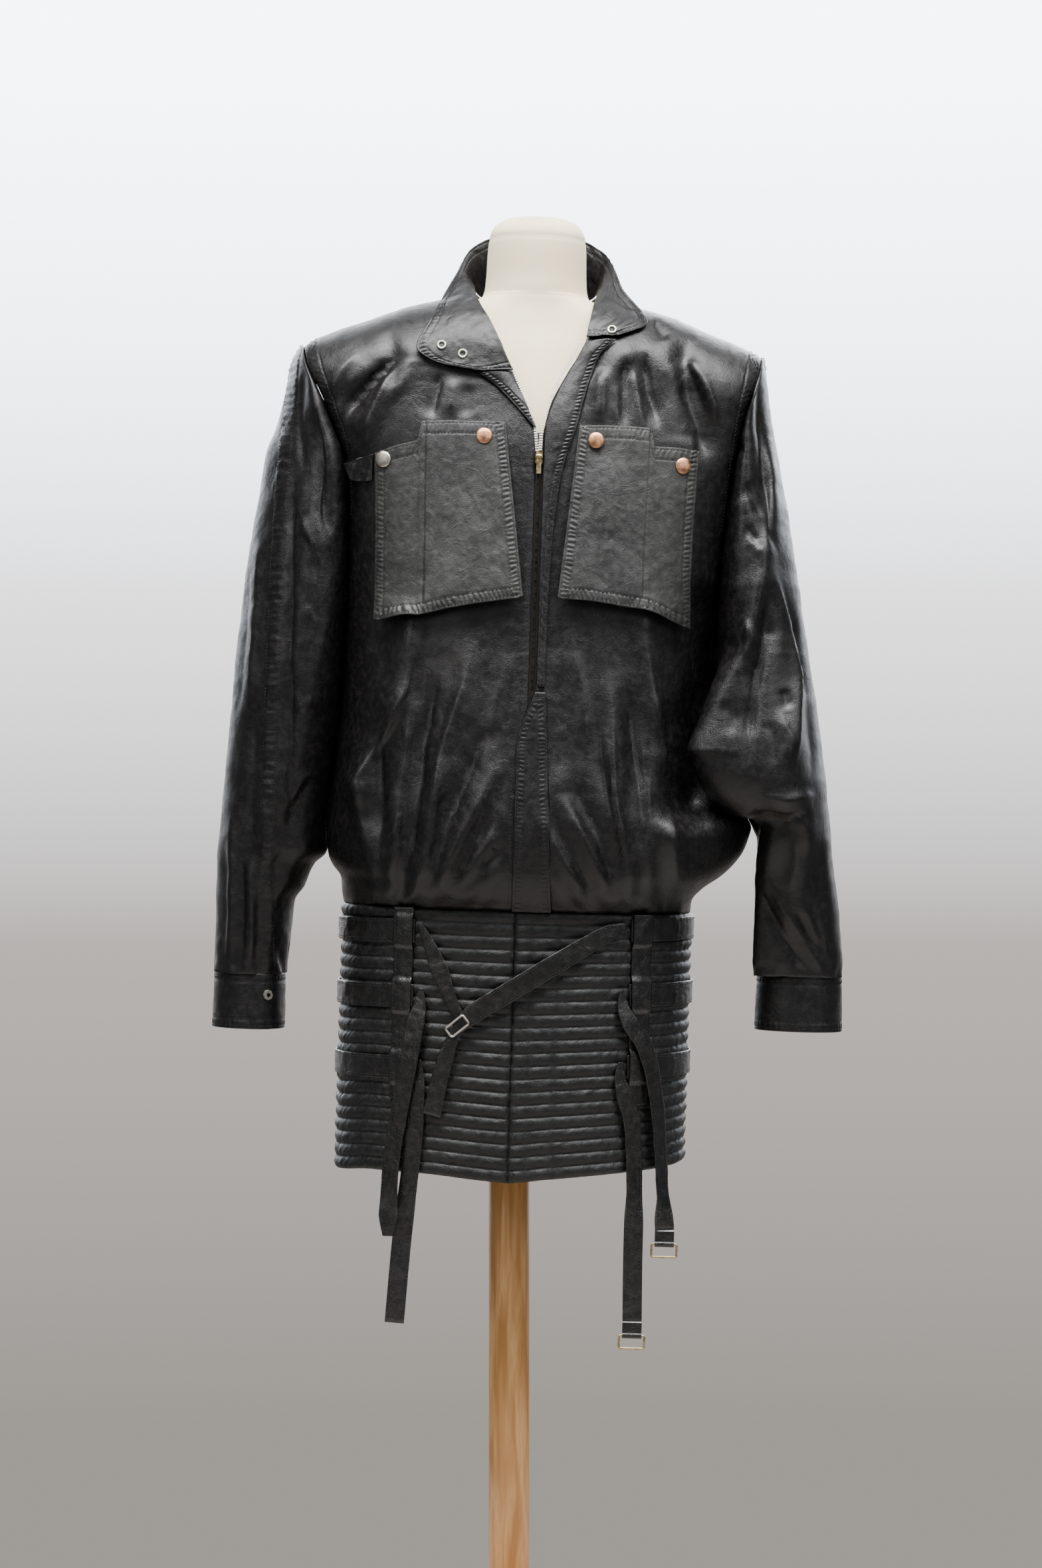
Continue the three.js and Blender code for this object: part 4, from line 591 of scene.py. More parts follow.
def new_material(name, roughness=0.5, metallic=0.0):
    made = bpy.data.materials.new(name)
    made.use_nodes = True
    shader = made.node_tree.nodes["Principled BSDF"]
    shader.inputs["Roughness"].default_value = roughness
    shader.inputs["Metallic"].default_value = metallic
    return made, shader


def node(made, kind, inputs=(), **settings):
    n = made.node_tree.nodes.new(kind)
    for key, value in settings.items():
        setattr(n, key, value)
    for key, value in dict(inputs).items():
        if isinstance(value, bpy.types.NodeSocket):
            made.node_tree.links.new(value, n.inputs[key])
        else:
            n.inputs[key].default_value = value
    return n


def ramp(made, factor, stops):
    n = node(made, "ShaderNodeValToRGB", {"Fac": factor})
    elements = n.color_ramp.elements
    while len(elements) < len(stops):
        elements.new(0.5)
    for element, (place, value) in zip(elements, stops):
        element.position = place
        element.color = value if isinstance(value, tuple) else (value, value, value, 1)
    return n.outputs["Color"]


def mixed(made, factor, a, b):
    n = made.node_tree.nodes.new("ShaderNodeMix")
    n.data_type = "RGBA"
    for socket, value in ((n.inputs[0], factor), (n.inputs[6], a), (n.inputs[7], b)):
        if isinstance(value, bpy.types.NodeSocket):
            made.node_tree.links.new(value, socket)
        else:
            socket.default_value = value
    return n.outputs[2]


def link(made, output, shader, name):
    made.node_tree.links.new(output, shader.inputs[name])


def speckle(made, vector, scale, detail, **more):
    """Fine grey noise; more gives the noise's other inputs."""
    inputs = {"Vector": vector, "Scale": scale, "Detail": detail, **more}
    return node(made, "ShaderNodeTexNoise", inputs).outputs["Fac"]


def bump(made, height, strength, distance, **more):
    inputs = {"Height": height, "Strength": strength, "Distance": distance, **more}
    return node(made, "ShaderNodeBump", inputs).outputs["Normal"]


def two_tone(made, shader, factor, base, tint):
    link(made, mixed(made, factor, colour(base), colour(tint)), shader, "Base Color")


def leather(name, dark, light, warm, rough, crinkle, coat, gloss):
    """Thin semi-gloss leather: pebbled grain, small crinkles, uneven colour and gloss."""
    made, shader = new_material(name)
    place = node(made, "ShaderNodeTexCoord").outputs["Object"]
    large = speckle(made, place, 9, 4)
    fine = speckle(made, place, 130, 5, Roughness=0.65)
    tone = mixed(made, ramp(made, large, [(0.32, 0.0), (0.68, 1.0)]), colour(dark), colour(light))
    worn = mixed(made, ramp(made, fine, [(0.45, 0.0), (0.75, 0.5)]), tone, colour(warm))
    link(made, worn, shader, "Base Color")
    uneven = node(made, "ShaderNodeMapRange", {"Value": fine, "From Min": 0.3, "From Max": 0.7,
                                               "To Min": rough[0], "To Max": rough[1]}).outputs["Result"]
    link(made, uneven, shader, "Roughness")
    cells = node(made, "ShaderNodeTexVoronoi", {"Vector": place, "Scale": 620, "Randomness": 1.0},
                 feature="DISTANCE_TO_EDGE").outputs["Distance"]
    pores = ramp(made, cells, [(0.0, 0.0), (0.22, 1.0)])
    stretched = speckle(made, place, 75, 3, Distortion=1.2)
    low = bump(made, stretched, crinkle, 0.0016)
    link(made, bump(made, pores, 0.32, 0.0003, Normal=low), shader, "Normal")
    shader.inputs["Coat Weight"].default_value = coat
    shader.inputs["Coat Roughness"].default_value = 0.32
    shader.inputs["Specular IOR Level"].default_value = gloss
    return made


def metal(name, base, tint, rough, scratch=0.35, metallic=1.0):
    made, shader = new_material(name, rough, metallic)
    place = node(made, "ShaderNodeTexCoord").outputs["Object"]
    spots = speckle(made, place, 260, 4)
    two_tone(made, shader, ramp(made, spots, [(0.35, 0.0), (0.7, 1.0)]), base, tint)
    link(made, ramp(made, spots, [(0.3, rough), (0.8, min(1.0, rough + scratch))]), shader, "Roughness")
    link(made, bump(made, spots, 0.15, 0.0004), shader, "Normal")
    return made


def jersey(name, base, shade):
    """Cream stretch jersey: fine knit columns and soft painted shade in random patches."""
    made, shader = new_material(name, 0.85)
    place = node(made, "ShaderNodeTexCoord").outputs["Object"]
    soft = speckle(made, place, 14, 3)
    two_tone(made, shader, ramp(made, soft, [(0.3, 0.0), (0.75, 1.0)]), base, shade)
    columns = {"Vector": place, "Scale": 520, "Distortion": 1.5, "Detail": 2}
    knit = node(made, "ShaderNodeTexWave", columns).outputs["Fac"]
    link(made, bump(made, knit, 0.25, 0.0004), shader, "Normal")
    shader.inputs["Sheen Weight"].default_value = 0.3
    shader.inputs["Sheen Roughness"].default_value = 0.5
    return made


def wood(name, pale, grain_tone):
    made, shader = new_material(name, 0.42)
    place = node(made, "ShaderNodeTexCoord").outputs["Object"]
    stretch = node(made, "ShaderNodeMapping", {"Vector": place, "Scale": (9, 9, 0.9)}).outputs["Vector"]
    rings = speckle(made, stretch, 7, 6, Distortion=1.4)
    streaks = speckle(made, stretch, 60, 4)
    tone = mixed(made, ramp(made, rings, [(0.38, 0.0), (0.62, 1.0)]), colour(pale), colour(grain_tone))
    tone = mixed(made, ramp(made, streaks, [(0.45, 0.0), (0.8, 0.45)]), tone, colour(grain_tone))
    link(made, tone, shader, "Base Color")
    link(made, ramp(made, streaks, [(0.2, 0.35), (0.9, 0.55)]), shader, "Roughness")
    link(made, bump(made, streaks, 0.2, 0.0006), shader, "Normal")
    shader.inputs["Coat Weight"].default_value = 0.2
    return made


def thread(name, base, tint):
    made, shader = new_material(name, 0.6)
    place = node(made, "ShaderNodeTexCoord").outputs["Object"]
    ply = node(made, "ShaderNodeTexWave", {"Vector": place, "Scale": 900, "Distortion": 2}).outputs["Fac"]
    two_tone(made, shader, ply, base, tint)
    link(made, bump(made, ply, 0.4, 0.0003), shader, "Normal")
    return made


LEATHER = leather("leather", "060505", "0f0d0d", "252220",
                  rough=(0.33, 0.5), crinkle=0.4, coat=0.14, gloss=0.38)
# Flap leather: the same black leather with a lighter base, painted light standing in for the lamps' light on
# the flaps.
FLAP_LEATHER_PAINTED_LIGHT = leather("leather_flaps_painted_light", "181818", "282826", "444440",
                       rough=(0.4, 0.58), crinkle=0.5, coat=0.1, gloss=0.42)
QUILT = leather("leather_quilted", "0c0c0c", "161615", "2c2d2c",
                rough=(0.4, 0.58), crinkle=0.7, coat=0.06, gloss=0.4)
STRAP_LEATHER = leather("leather_straps", "080706", "110f0d", "2d2926",
                        rough=(0.26, 0.42), crinkle=0.9, coat=0.3, gloss=0.5)
THREAD = thread("thread", "151616", "2c2e2f")
TAPE_CLOTH = thread("zip_tape_cloth", "0a0a0a", "171717")
JERSEY = jersey("jersey", "fff1cc", "f4dfb2")
PINE = wood("pine", "d9a86e", "b07c42")
BRONZE = metal("zip_bronze", "16130f", "3a3228", 0.5)
BRASS = metal("brass", "a8946a", "c2b28a", 0.32)
TOOTH_STEEL = metal("zip_steel", "f0ede4", "cfc8b8", 0.45, metallic=0.35)
COPPER = metal("copper", "c08a68", "d9a684", 0.3)
STEEL = metal("steel", "c9c7c0", "b3aa98", 0.26)


def finish_piece(piece, slot, *nodes):
    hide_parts(*nodes)
    return piece


def cloth(name, grid, normal, replaced=None, thick=WALL,
          material=LEATHER, slot="leather", coarse=3):
    """Sheet in place of the CAD piece replaced, which is hidden."""
    piece = finish_piece(shell(name, grid, normal, thick, material, coarse), slot, replaced)


# Spans of each sheet's grid, rows first, and passes that settle a grid's heights to its outline
ROWS, COLS = 240, 105
BACK_ROWS, BACK_COLS = 189, 210
SLEEVE_ROWS, SLEEVE_COLS = 225, 138
CUFF_ROWS, CUFF_COLS = 30, 180
FLAP_ROWS, FLAP_COLS = 138, 132
TAB_SPANS = 36
COLLAR_ROWS, COLLAR_COLS = 60, 336
STRIP_ROWS, STRIP_COLS = 198, 36
SETTLE = 14

# Fronts


def front_grid(side):
    v = np.linspace(0, 1, ROWS + 1)[:, None]
    s = np.linspace(0, 1, COLS + 1)[None]
    z = lerp(BODY_LOW, 860, v) + 0 * s
    for _ in range(SETTLE):
        wide = side["body"](z)
        start = side["sign"] * side["neck"](z) / wide
        start = np.sign(start) * np.arcsin(np.abs(start) ** (BODY_POWER / 2))
        turn = lerp(start, math.pi / 2, s)
        x = side["sign"] * wide * np.sign(turn) * np.abs(np.sin(turn)) ** (2 / BODY_POWER)
        z = lerp(BODY_LOW, shoulder(np.abs(x)), v)
    return np.stack([x, body_y(x, z, "front"), z], -1)


def back_top(x):
    inside = 1 - (x / NECK["x"]) ** 2
    t = np.minimum(0.95, NECK["y"] * np.sqrt(np.maximum(inside, 0)) / DEPTH["back"](870))
    dip = SHOULDER_ROUND * (1 - np.sqrt(1 - t * t))
    return shoulder(np.abs(x)) - np.where(inside > 0, dip, 0)


def back_grid():
    v = np.linspace(0, 1, BACK_ROWS + 1)[:, None]
    part = np.linspace(-1, 1, BACK_COLS + 1)[None]
    part = np.sign(part) * np.sin(np.abs(part) * math.pi / 2) ** 1.1
    z = lerp(BODY_LOW, 860, v) + 0 * part
    for _ in range(SETTLE):
        wide = np.where(part < 0, SIDES["left"]["body"](z), SIDES["right"]["body"](z))
        x = part * wide
        z = lerp(BODY_LOW, back_top(x), v)
    return np.stack([x, body_y(x, z, "back"), z], -1)


# Pocket flaps: column's x and height at the top edge and at the bottom edge.
FLAPS = {
    "left": [(-152, 709, -141, 545), (-131, 716, -123, 546), (-110, 721, -105, 548), (-107, 740, -101, 550),
             (-80, 741, -76, 557), (-52, 741, -52, 562), (-26, 741, -4, 570)],
    "right": [(47, 740, 30, 570), (70, 741, 56, 569), (94, 741, 82, 566), (116, 740, 108, 562),
              (120, 722, 112, 561), (142, 722, 132, 554), (164, 720, 151, 547)],
}


def flap_lift(v):
    return WALL + 0.9 + 11 * v ** 1.4


def under_flap(x, z):
    """1 where a flap lies on the front, 0 well clear of it."""
    cover = 0
    for rows in FLAPS.values():
        low, high = rows[0][0] - 2, rows[-1][0] + 2
        cover = cover + (smooth((x - low) / 8) * smooth((high - x) / 8) * smooth((z - 552) / 25)
                         * smooth((738 - z) / 12))
    return np.clip(cover, 0, 1)


cloth_lines = {"body": [], "sleeves": [], "flaps": [], "band": [], "straps": []}
for name, side in SIDES.items():
    grid = front_grid(side)
    normal = normals_of(grid, side["sign"], True)
    x, z = grid[..., 0], grid[..., 2]
    to_edge = arcs(grid, 1)
    to_side = to_edge[:, -1:] - to_edge
    up = arcs(grid, 0)
    to_top = up[-1:] - up
    relief = 1.25 * creases(CREASES["front"], x, z) + wrinkles(x, z, 0.45, 11 if name == "left" else 21)
    relief *= smooth(to_side / 22) * smooth(to_edge / 10) * smooth(up / 6) * smooth(to_top / 12)
    relief *= 1 - 0.97 * under_flap(x, z)
    armhole = smooth((z - 640) / 40)
    relief += armhole * pucker(to_side, z, 2.5, 16, 0.75, 31) * smooth(to_top / 8)
    placket = smooth((735 - z) / 12) * smooth((z - 300) / 200)
    relief += placket * pucker(to_edge, z, 2.5, 13, 0.4, 35) * (1 - under_flap(x, z))
    relief += np.maximum(0, 1 - up / 26) * 0.9 * noise(x, z * 0.2, 6.5, 41)
    grid = grid + normal * relief[..., None]
    normal = normals_of(grid, side["sign"], True)
    cloth(f"front_{name}_leather", grid, normal, replaced=f"front_{name}")
    keep = slice(int(ROWS * 0.66), ROWS - 2)
    for distance in (2.5, 16):
        line, facing = along_rows(grid, normal, distance, True, 0.1)
        cloth_lines["body"].append((line[keep], normal[keep, -4]))
    zip_rows = z[:, 0] < 733
    for distance in (2.5, 13):
        line, facing = along_rows(grid, normal, distance, False, 0.1)
        cloth_lines["body"].append((line[zip_rows], facing[zip_rows]))

grid = back_grid()
normal = normals_of(grid, -1, True)
x, z = grid[..., 0], grid[..., 2]
across, up = arcs(grid, 1), arcs(grid, 0)
to_side = np.minimum(across, across[:, -1:] - across)
relief = creases(CREASES["back"], x, z) + wrinkles(x, z, 0.6, 51)
relief *= smooth(to_side / 22) * smooth(up / 6) * smooth((up[-1:] - up) / 14)
relief += smooth((z - 640) / 40) * pucker(to_side, z, 2.5, 16, 0.75, 55) * smooth((up[-1:] - up) / 8)
relief += np.maximum(0, 1 - up / 26) * 0.9 * noise(x, z * 0.2, 6.5, 61)
grid = grid + normal * relief[..., None]
normal = normals_of(grid, -1, True)
cloth("back_leather", grid, normal, replaced="back")
for from_end in (False, True):
    for distance in (2.5, 16):
        line, facing = along_rows(grid, normal, distance, from_end, 0.1)
        cloth_lines["body"].append((line[138:208], normal[138:208, -4 if from_end else 4]))

# Sleeves

CREST = 0.8


def lapping(turn):
    t = turn / math.pi
    return np.where(t > CREST, np.clip((1 - t) / (1 - CREST), 0, 1) ** 3, smooth((t - 0.35) / (CREST - 0.35)))


def sleeve_grid(name, side):
    under = side["underarm"]
    v = np.linspace(0, 1, 400)
    z = lerp(BODY_LOW, 820, v)
    for _ in range(SETTLE):
        z = lerp(BODY_LOW, shoulder(side["body"](z)), v)
    tip = z[-1]
    z = lerp(side["cuff_top"], tip, np.linspace(0, 1, SLEEVE_ROWS + 1))
    body = side["body"](z)
    seam = np.abs(body_y(side["sign"] * body, z, "front"))
    t = smooth((z - (under - 8)) / 16)
    z, t = z[:, None], t[:, None]
    row_x = lerp(side["inner"](z), body[:, None] + 0.9, t)
    row_y = lerp(0.3, seam[:, None], t)
    turn = np.linspace(-math.pi, math.pi, SLEEVE_COLS + 1)[None]
    head = np.sqrt(1 - (1 - np.clip(tip - z, 0, 42) / 42) ** 2)
    ring = (1 - np.cos(turn)) / 2
    swing = np.abs(np.sin(turn))
    fold = ridges(SLEEVE_FOLDS[name], 1 - np.abs(turn) / math.pi + 0 * z, z + 0 * turn, 50) * swing * head
    outer = np.maximum(side["outer"](z), row_x + 3)
    crest = lerp(outer, row_x, (1 - math.cos(CREST * math.pi)) / 2)
    hang = np.maximum(0, crest - side["edge"](z)) * lapping(turn)
    inset = (side["depth"](z) * swing ** 0.85 + fold) * head + row_y * ring + 0.4 * hang
    x = side["sign"] * (lerp(outer, row_x, ring) - hang)
    return np.stack([x, np.sign(-turn) * inset, z + 0 * turn], -1), turn + 0 * z


BAND_LINE = {
    "left": curve([(192, -247), (304, -249.9), (444, -249), (530, -248.2), (615, -247.4), (745, -242.9),
                   (826, -238)]),
    "right": curve([(205, 296), (360, 284), (470, 272), (572, 256), (700, 238), (826, 229)]),
}
BAND_HALF = 7.5
for name, side in SIDES.items():
    grid, turn = sleeve_grid(name, side)
    normal = normals_of(grid, -side["sign"], True)
    x, z = grid[..., 0], grid[..., 2]
    across, up = arcs(grid, 1), arcs(grid, 0)
    to_side = np.minimum(across, across[:, -1:] - across)
    face = smooth((turn + 0.1) / 0.5)
    other = CREASES["sleeve_right" if name == "left" else "sleeve_left"]
    swapped = [(width, 0.75 * rise, [(-px, pz - 14) for px, pz in points]) for width, rise, points in other]
    relief = (creases(CREASES[f"sleeve_{name}"], x, z) * face
              + creases(swapped, x, z) * smooth((-turn + 0.1) / 0.5))
    faces_front = name == "left"
    strip_face = smooth((turn if faces_front else -turn) / 0.3)
    off = np.abs(x - BAND_LINE[name](z))
    strip = smooth((BAND_HALF + 9 - off) / 9) * strip_face
    relief = relief * (1 - 0.8 * strip) + wrinkles(x + 0.6 * across, z, 0.6, 71 if name == "left" else 81)
    relief *= smooth(to_side / 14) * smooth(up / 6) * smooth((up[-1:] - up) / 14)
    rope = pucker(BAND_HALF - off, z, 0.8, 2 * BAND_HALF, 0.75, 85)
    raised = np.where(off < BAND_HALF, 0.9 * smooth((BAND_HALF - off) / 1.4) + rope, 0)
    relief += strip_face * raised * smooth(up / 10)
    gathers = np.maximum(0, 1 - up / 60) ** 1.5
    relief += gathers * 2.4 * np.sin(across / 7.5 + 1.2 * noise(across, z, 30, 91)) * noise(across, z, 16, 93)
    grid = grid + normal * relief[..., None]
    normal = normals_of(grid, -side["sign"], True)
    cloth(f"sleeve_{name}_leather", grid, normal,
          replaced=f"sleeve_{name}")
    for offset in (-BAND_HALF + 1.2, BAND_HALF - 1.2):
        line, facing = [], []
        for i in range(4, len(grid) - 12):
            middle = SLEEVE_COLS // 2
            half = range(middle + 1, SLEEVE_COLS) if faces_front else range(middle, 1, -1)
            target = BAND_LINE[name](z[i, 0]) + offset
            j = min(half, key=lambda k: abs(grid[i, k, 0] - target))
            line.append(grid[i, j] + normal[i, j] * 0.15)
            line[-1][0] = target
            facing.append(normal[i, j])
        cloth_lines["sleeves"].append((np.array(line)[::2], np.array(facing)[::2]))

# Cuffs

for name, side in SIDES.items():
    top = side["cuff_top"] - SEAM
    middle = (side["inner"](top) + side["outer"](top)) / 2
    wide = (side["outer"](top) - side["inner"](top)) / 2 - 0.5
    deep = side["depth"](top) - 1
    s = np.linspace(0, 1, CUFF_COLS + 1)[None]
    v = np.linspace(0, 1, CUFF_ROWS + 1)[:, None]
    turn = lerp(-0.12, 2 * math.pi + 0.2, s) + LAP_START[name]
    more = CUFF["overlap"] * smooth((s - 0.86) / 0.1) + CUFF["flare"] * (1 - v)
    grid = np.stack([side["sign"] * (middle + (wide + more) * np.cos(turn)) + 0 * v,
                     side["sign"] * (deep + more) * np.sin(turn) + 0 * v,
                     top - CUFF["height"] * (1 - v) + 0 * turn], -1)
    normal = normals_of(grid, 1)
    across, up = arcs(grid, 1), arcs(grid, 0)
    relief = wrinkles(across, up, 0.45, 101)
    relief += pucker(up, across, 2.2, 9, 0.3, 103) + pucker(up[-1:] - up, across, 2.2, 7, 0.3, 107)
    relief *= smooth(np.minimum(across, across[:, -1:] - across) / 6)
    grid = grid + normal * relief[..., None]
    normal = normals_of(grid, 1)
    cloth(f"cuff_{name}_leather", grid, normal, replaced=f"cuff_{name}",
          thick=CUFF["wall"])
    swapped_grid, swapped_normal = turned(grid, normal)
    for distance, from_end in ((2.2, False), (9, False), (2.2, True)):
        cloth_lines["sleeves"].append(along_rows(swapped_grid, swapped_normal, distance, from_end, 0.1))

# Pocket flaps

for name, rows in FLAPS.items():
    table = np.array(rows, float)
    width = np.insert(np.cumsum(np.abs(np.diff(table[:, 2]))), 0, 0)
    column = np.interp(np.linspace(0, width[-1], FLAP_COLS + 1), width, np.arange(len(rows)))
    index = np.arange(len(rows))
    top_x, top_z, bot_x, bot_z = (np.interp(column, index, table[:, k])[None] for k in range(4))
    v = np.linspace(1, 0, FLAP_ROWS + 1)[:, None]
    x, z = lerp(top_x, bot_x, v), lerp(top_z, bot_z, v)
    x, z = np.broadcast_arrays(x, z)
    grid = front_points(x, z, flap_lift(v))
    normal = normals_of(grid, 1)
    across, up = arcs(grid, 1), arcs(grid, 0)
    sides = np.minimum(across, across[:, -1:] - across)
    relief = wrinkles(x, z, 0.42, 111 if name == "left" else 121)
    relief += (pucker(sides, z, 1.8, 10, 0.5, 113, 4.6)
               + pucker(up, x, 1.8, 10, 0.75, 115, 4.6) * smooth(sides / 8))
    relief += pucker(up[-1:] - up, x, 1.6, 12, 0.3, 117) * smooth(sides / 8)
    corner, nudge = (table[3], 3) if name == "left" else (table[4], -3)
    press = x - lerp(corner[2], corner[0], (z - 550) / 190) - nudge
    relief += -0.9 * np.exp(-(press / 1.3) ** 2) + 0.5 * np.exp(-((press - 3) / 2.5) ** 2)
    relief += 1.5 * noise(x, z * 0.5, 26, 119) * smooth(sides / 25) * smooth(up / 25)
    grid = grid + normal * relief[..., None]
    normal = normals_of(grid, 1)
    # The flaps get the lighter leather, whose base is painted light.
    cloth(f"flap_{name}_leather", grid, normal, replaced=f"pocket_flap_{name}",
          material=FLAP_LEATHER_PAINTED_LIGHT)
    for distance in (1.8, 11):
        for from_end in (False, True):
            line, facing = along_rows(grid, normal, distance, from_end, 0.15)
            cloth_lines["flaps"].append((line[2:-2], facing[2:-2]))
    swapped_grid, swapped_normal = turned(grid, normal)
    for distance, from_end in ((1.8, False), (10.5, False), (1.6, True), (12, True)):
        line, facing = along_rows(swapped_grid, swapped_normal, distance, from_end, 0.15)
        cloth_lines["flaps"].append((line[2:-2], facing[2:-2]))

# Small crumpled tab that sticks out from under the left flap's outer edge
TAB = {"x": -154, "out": 28, "top": 708, "bottom": 681, "stand": 0.5, "crumple": 2.2}
v, s = np.linspace(0, 1, TAB_SPANS + 1)[:, None], np.linspace(0, 1, TAB_SPANS + 1)[None]
z = lerp(TAB["bottom"] + 4 * np.abs(s - 0.4), TAB["top"] - 9 * s, v)
off = TAB["out"] * s * (1 - 0.25 * (1 - v))
fold = TAB["crumple"] * np.sin(s * 8 + v * 3) * np.minimum(1, s * 3)
seat = body_y(TAB["x"], z, "front") + TAB["stand"] * off - fold
clear = front_points(TAB["x"] - off, z, WALL + 1.3)
grid = np.stack([clear[..., 0], np.minimum(clear[..., 1], seat - WALL - 0.8), z], -1)
normal = normals_of(grid, -1)
grid = grid + normal * (wrinkles(off * 2, z * 2, 0.5, 127) * smooth(off / 4))[..., None]
normal = normals_of(grid, -1)
cloth("flap_tab_leather", grid, normal, replaced="flap_tab_left")

# Collar and lapels

# Least distance of the collar in front of the fronts, and how far above the shoulder line it no longer counts
COLLAR_GAP = {"seam": WALL + 2.8, "edge": WALL + 5.4, "above": 6}
# Height of the collar's seam edge above the back's leather
COLLAR_SEAT = WALL + 1.4
COLLAR = [
    (-20, -103, 795, -56, -106, 793), (-27, -101, 808, -99, -102, 802), (-33, -98, 822, -114, -98, 812),
    (-36, -96, 828, -115, -95, 817), (-45, -85, 846, -103, -66, 846), (-56, -61, 866, -93, -34, 873),
    (-61, -22, 884, -81, 2, 902), (-58, 18, 887, -65, 33, 933), (-32, 51, 881, -35, 56, 950),
    (0, 58, 879, 0, 63, 953), (32, 51, 881, 35, 56, 950), (58, 18, 887, 65, 33, 933),
    (61, -22, 884, 78, 0, 912), (58, -56, 868, 88, -28, 886), (55, -78, 851, 111, -62, 850),
    (51, -94, 831, 84, -82, 834),
]


def spline(points):
    """Centripetal curve through points; the place runs from 0 to 1."""
    points = np.asarray(points, float)
    first, last = 2 * points[0] - points[1], 2 * points[-1] - points[-2]
    padded = np.concatenate([[first], points, [last]])

    def value(t):
        t = np.asarray(t, float) * (len(points) - 1)
        i = np.clip(np.floor(t).astype(int), 0, len(points) - 2)
        w = (t - i)[..., None]
        p0, p1, p2, p3 = (padded[i + k] for k in range(4))
        d0, d1, d2 = (np.maximum(((b - a) ** 2).sum(-1) ** 0.25, 1e-4)[..., None]
                      for a, b in ((p0, p1), (p1, p2), (p2, p3)))
        t1 = ((p1 - p0) / d0 - (p2 - p0) / (d0 + d1) + (p2 - p1) / d1) * d1
        t2 = ((p2 - p1) / d1 - (p3 - p1) / (d1 + d2) + (p3 - p2) / d2) * d1
        return (p1 + t1 * w + (-3 * p1 + 3 * p2 - 2 * t1 - t2) * w ** 2
                + (2 * p1 - 2 * p2 + t1 + t2) * w ** 3)
    return value


collar_inner = spline([row[:3] for row in COLLAR])
collar_outer = spline([row[3:] for row in COLLAR])


def collar_points(t, w):
    t, w = np.broadcast_arrays(t, w)
    p = lerp(collar_inner(t), collar_outer(t), w[..., None])
    gap = lerp(COLLAR_GAP["seam"], COLLAR_GAP["edge"], w)
    line = shoulder(np.abs(p[..., 0]))
    short = p[..., 1] + gap - body_y(p[..., 0], np.minimum(p[..., 2], line - 0.01), "front")
    near = smooth((line + COLLAR_GAP["above"] - p[..., 2]) / 8) * (p[..., 1] < 20)
    p[..., 1] -= np.maximum(0, short) * near
    deep = np.clip(p[..., 1] / DEPTH["back"](870), 0, 0.95)
    seat = line - SHOULDER_ROUND * (1 - np.sqrt(1 - deep * deep)) + COLLAR_SEAT
    p[..., 2] -= np.maximum(0, p[..., 2] - seat) * (1 - w) ** 3 * smooth(p[..., 1] / 20)
    return p


t, w = np.linspace(0, 1, COLLAR_COLS + 1)[None], np.linspace(0, 1, COLLAR_ROWS + 1)[:, None]
grid = collar_points(t, w)
for _ in range(3):
    grid[1:-1, 1:-1] = (grid[1:-1, 1:-1] * 2 + grid[:-2, 1:-1] + grid[2:, 1:-1] + grid[1:-1, :-2]
                        + grid[1:-1, 2:]) / 6
normal = normals_of(grid, 1)
across, up = arcs(grid, 1), arcs(grid, 0)
ends = np.minimum(across, across[:, -1:] - across)
free = up[-1:] - up
relief = wrinkles(across, up, 0.8, 131) + pucker(free, across, 2, 9, 0.45, 133) * smooth(ends / 6)
relief += pucker(ends, up, 2, 8, 0.35, 137) * smooth(free / 8)
grid = grid + normal * relief[..., None]
normal = normals_of(grid, 1)
cloth("collar_leather", grid, normal, replaced="collar")
swapped_grid, swapped_normal = turned(grid, normal)
for distance in (2, 9):
    cloth_lines["body"].append(along_rows(swapped_grid, swapped_normal, distance, True, 0.1))
    for from_end in (False, True):
        cloth_lines["body"].append(along_rows(grid, normal, distance, from_end, 0.1))
collar_grid, collar_normal = grid, normal


# Lapels: inner edge on the neck edge, outer edge turned out over the front.
LAPEL_ROLL = 0.13
LAPELS = {
    "left": [(-22, 792, -53, 789), (-17, 782, -40, 781), (-9, 767, -22, 764), (-2, 751, -8, 749),
             (4, 738, 2.5, 737.5)],
    "right": [(50, 824, 80, 827), (41, 806, 64, 811), (31, 788, 57, 790), (20, 762, 50, 765),
              (13, 738, 44, 740), (12.6, 716, 37, 718), (12.6, 690, 30, 690), (12.6, 636, 24, 636),
              (12.6, 560, 21, 560), (12.6, 484, 20.5, 484)],
}
for name, rows in LAPELS.items():
    table = np.array(rows[::-1], float)
    place = np.arange(len(rows))
    k = np.linspace(0, len(rows) - 1, 27 * (len(rows) - 1) + 1)
    in_x, in_z, out_x, out_z = (curve(np.stack([place, table[:, c]], 1))(k)[:, None] for c in range(4))
    s = np.linspace(0, 1, 24 + 1)[None]
    roll = WALL + 0.5 + LAPEL_ROLL * np.abs(out_x - in_x) * np.sin(math.pi * s * 0.85)
    grid = front_points(lerp(in_x, out_x, s), lerp(in_z, out_z, s), roll)
    normal = normals_of(grid, SIDES[name]["sign"])
    across, up = arcs(grid, 1), arcs(grid, 0)
    free = across[:, -1:] - across
    relief = wrinkles(across * 2, up, 0.4, 141) + pucker(free, up, 1.6, 7.5, 0.55, 143, 4.2)
    relief *= smooth(across[:, -1:] / 14)
    grid = grid + normal * relief[..., None]
    normal = normals_of(grid, SIDES[name]["sign"])
    cloth(f"lapel_{name}_leather", grid, normal,
          replaced=f"lapel_{name}")
    for distance in (1.8, 7.5):
        line, facing = along_rows(grid, normal, distance, True, 0.1)
        wide_enough = across[:, -1] > distance + 5
        cloth_lines["body"].append((line[wide_enough], facing[wide_enough]))

# Zip: tape, fly strip, teeth, slider and pull tab

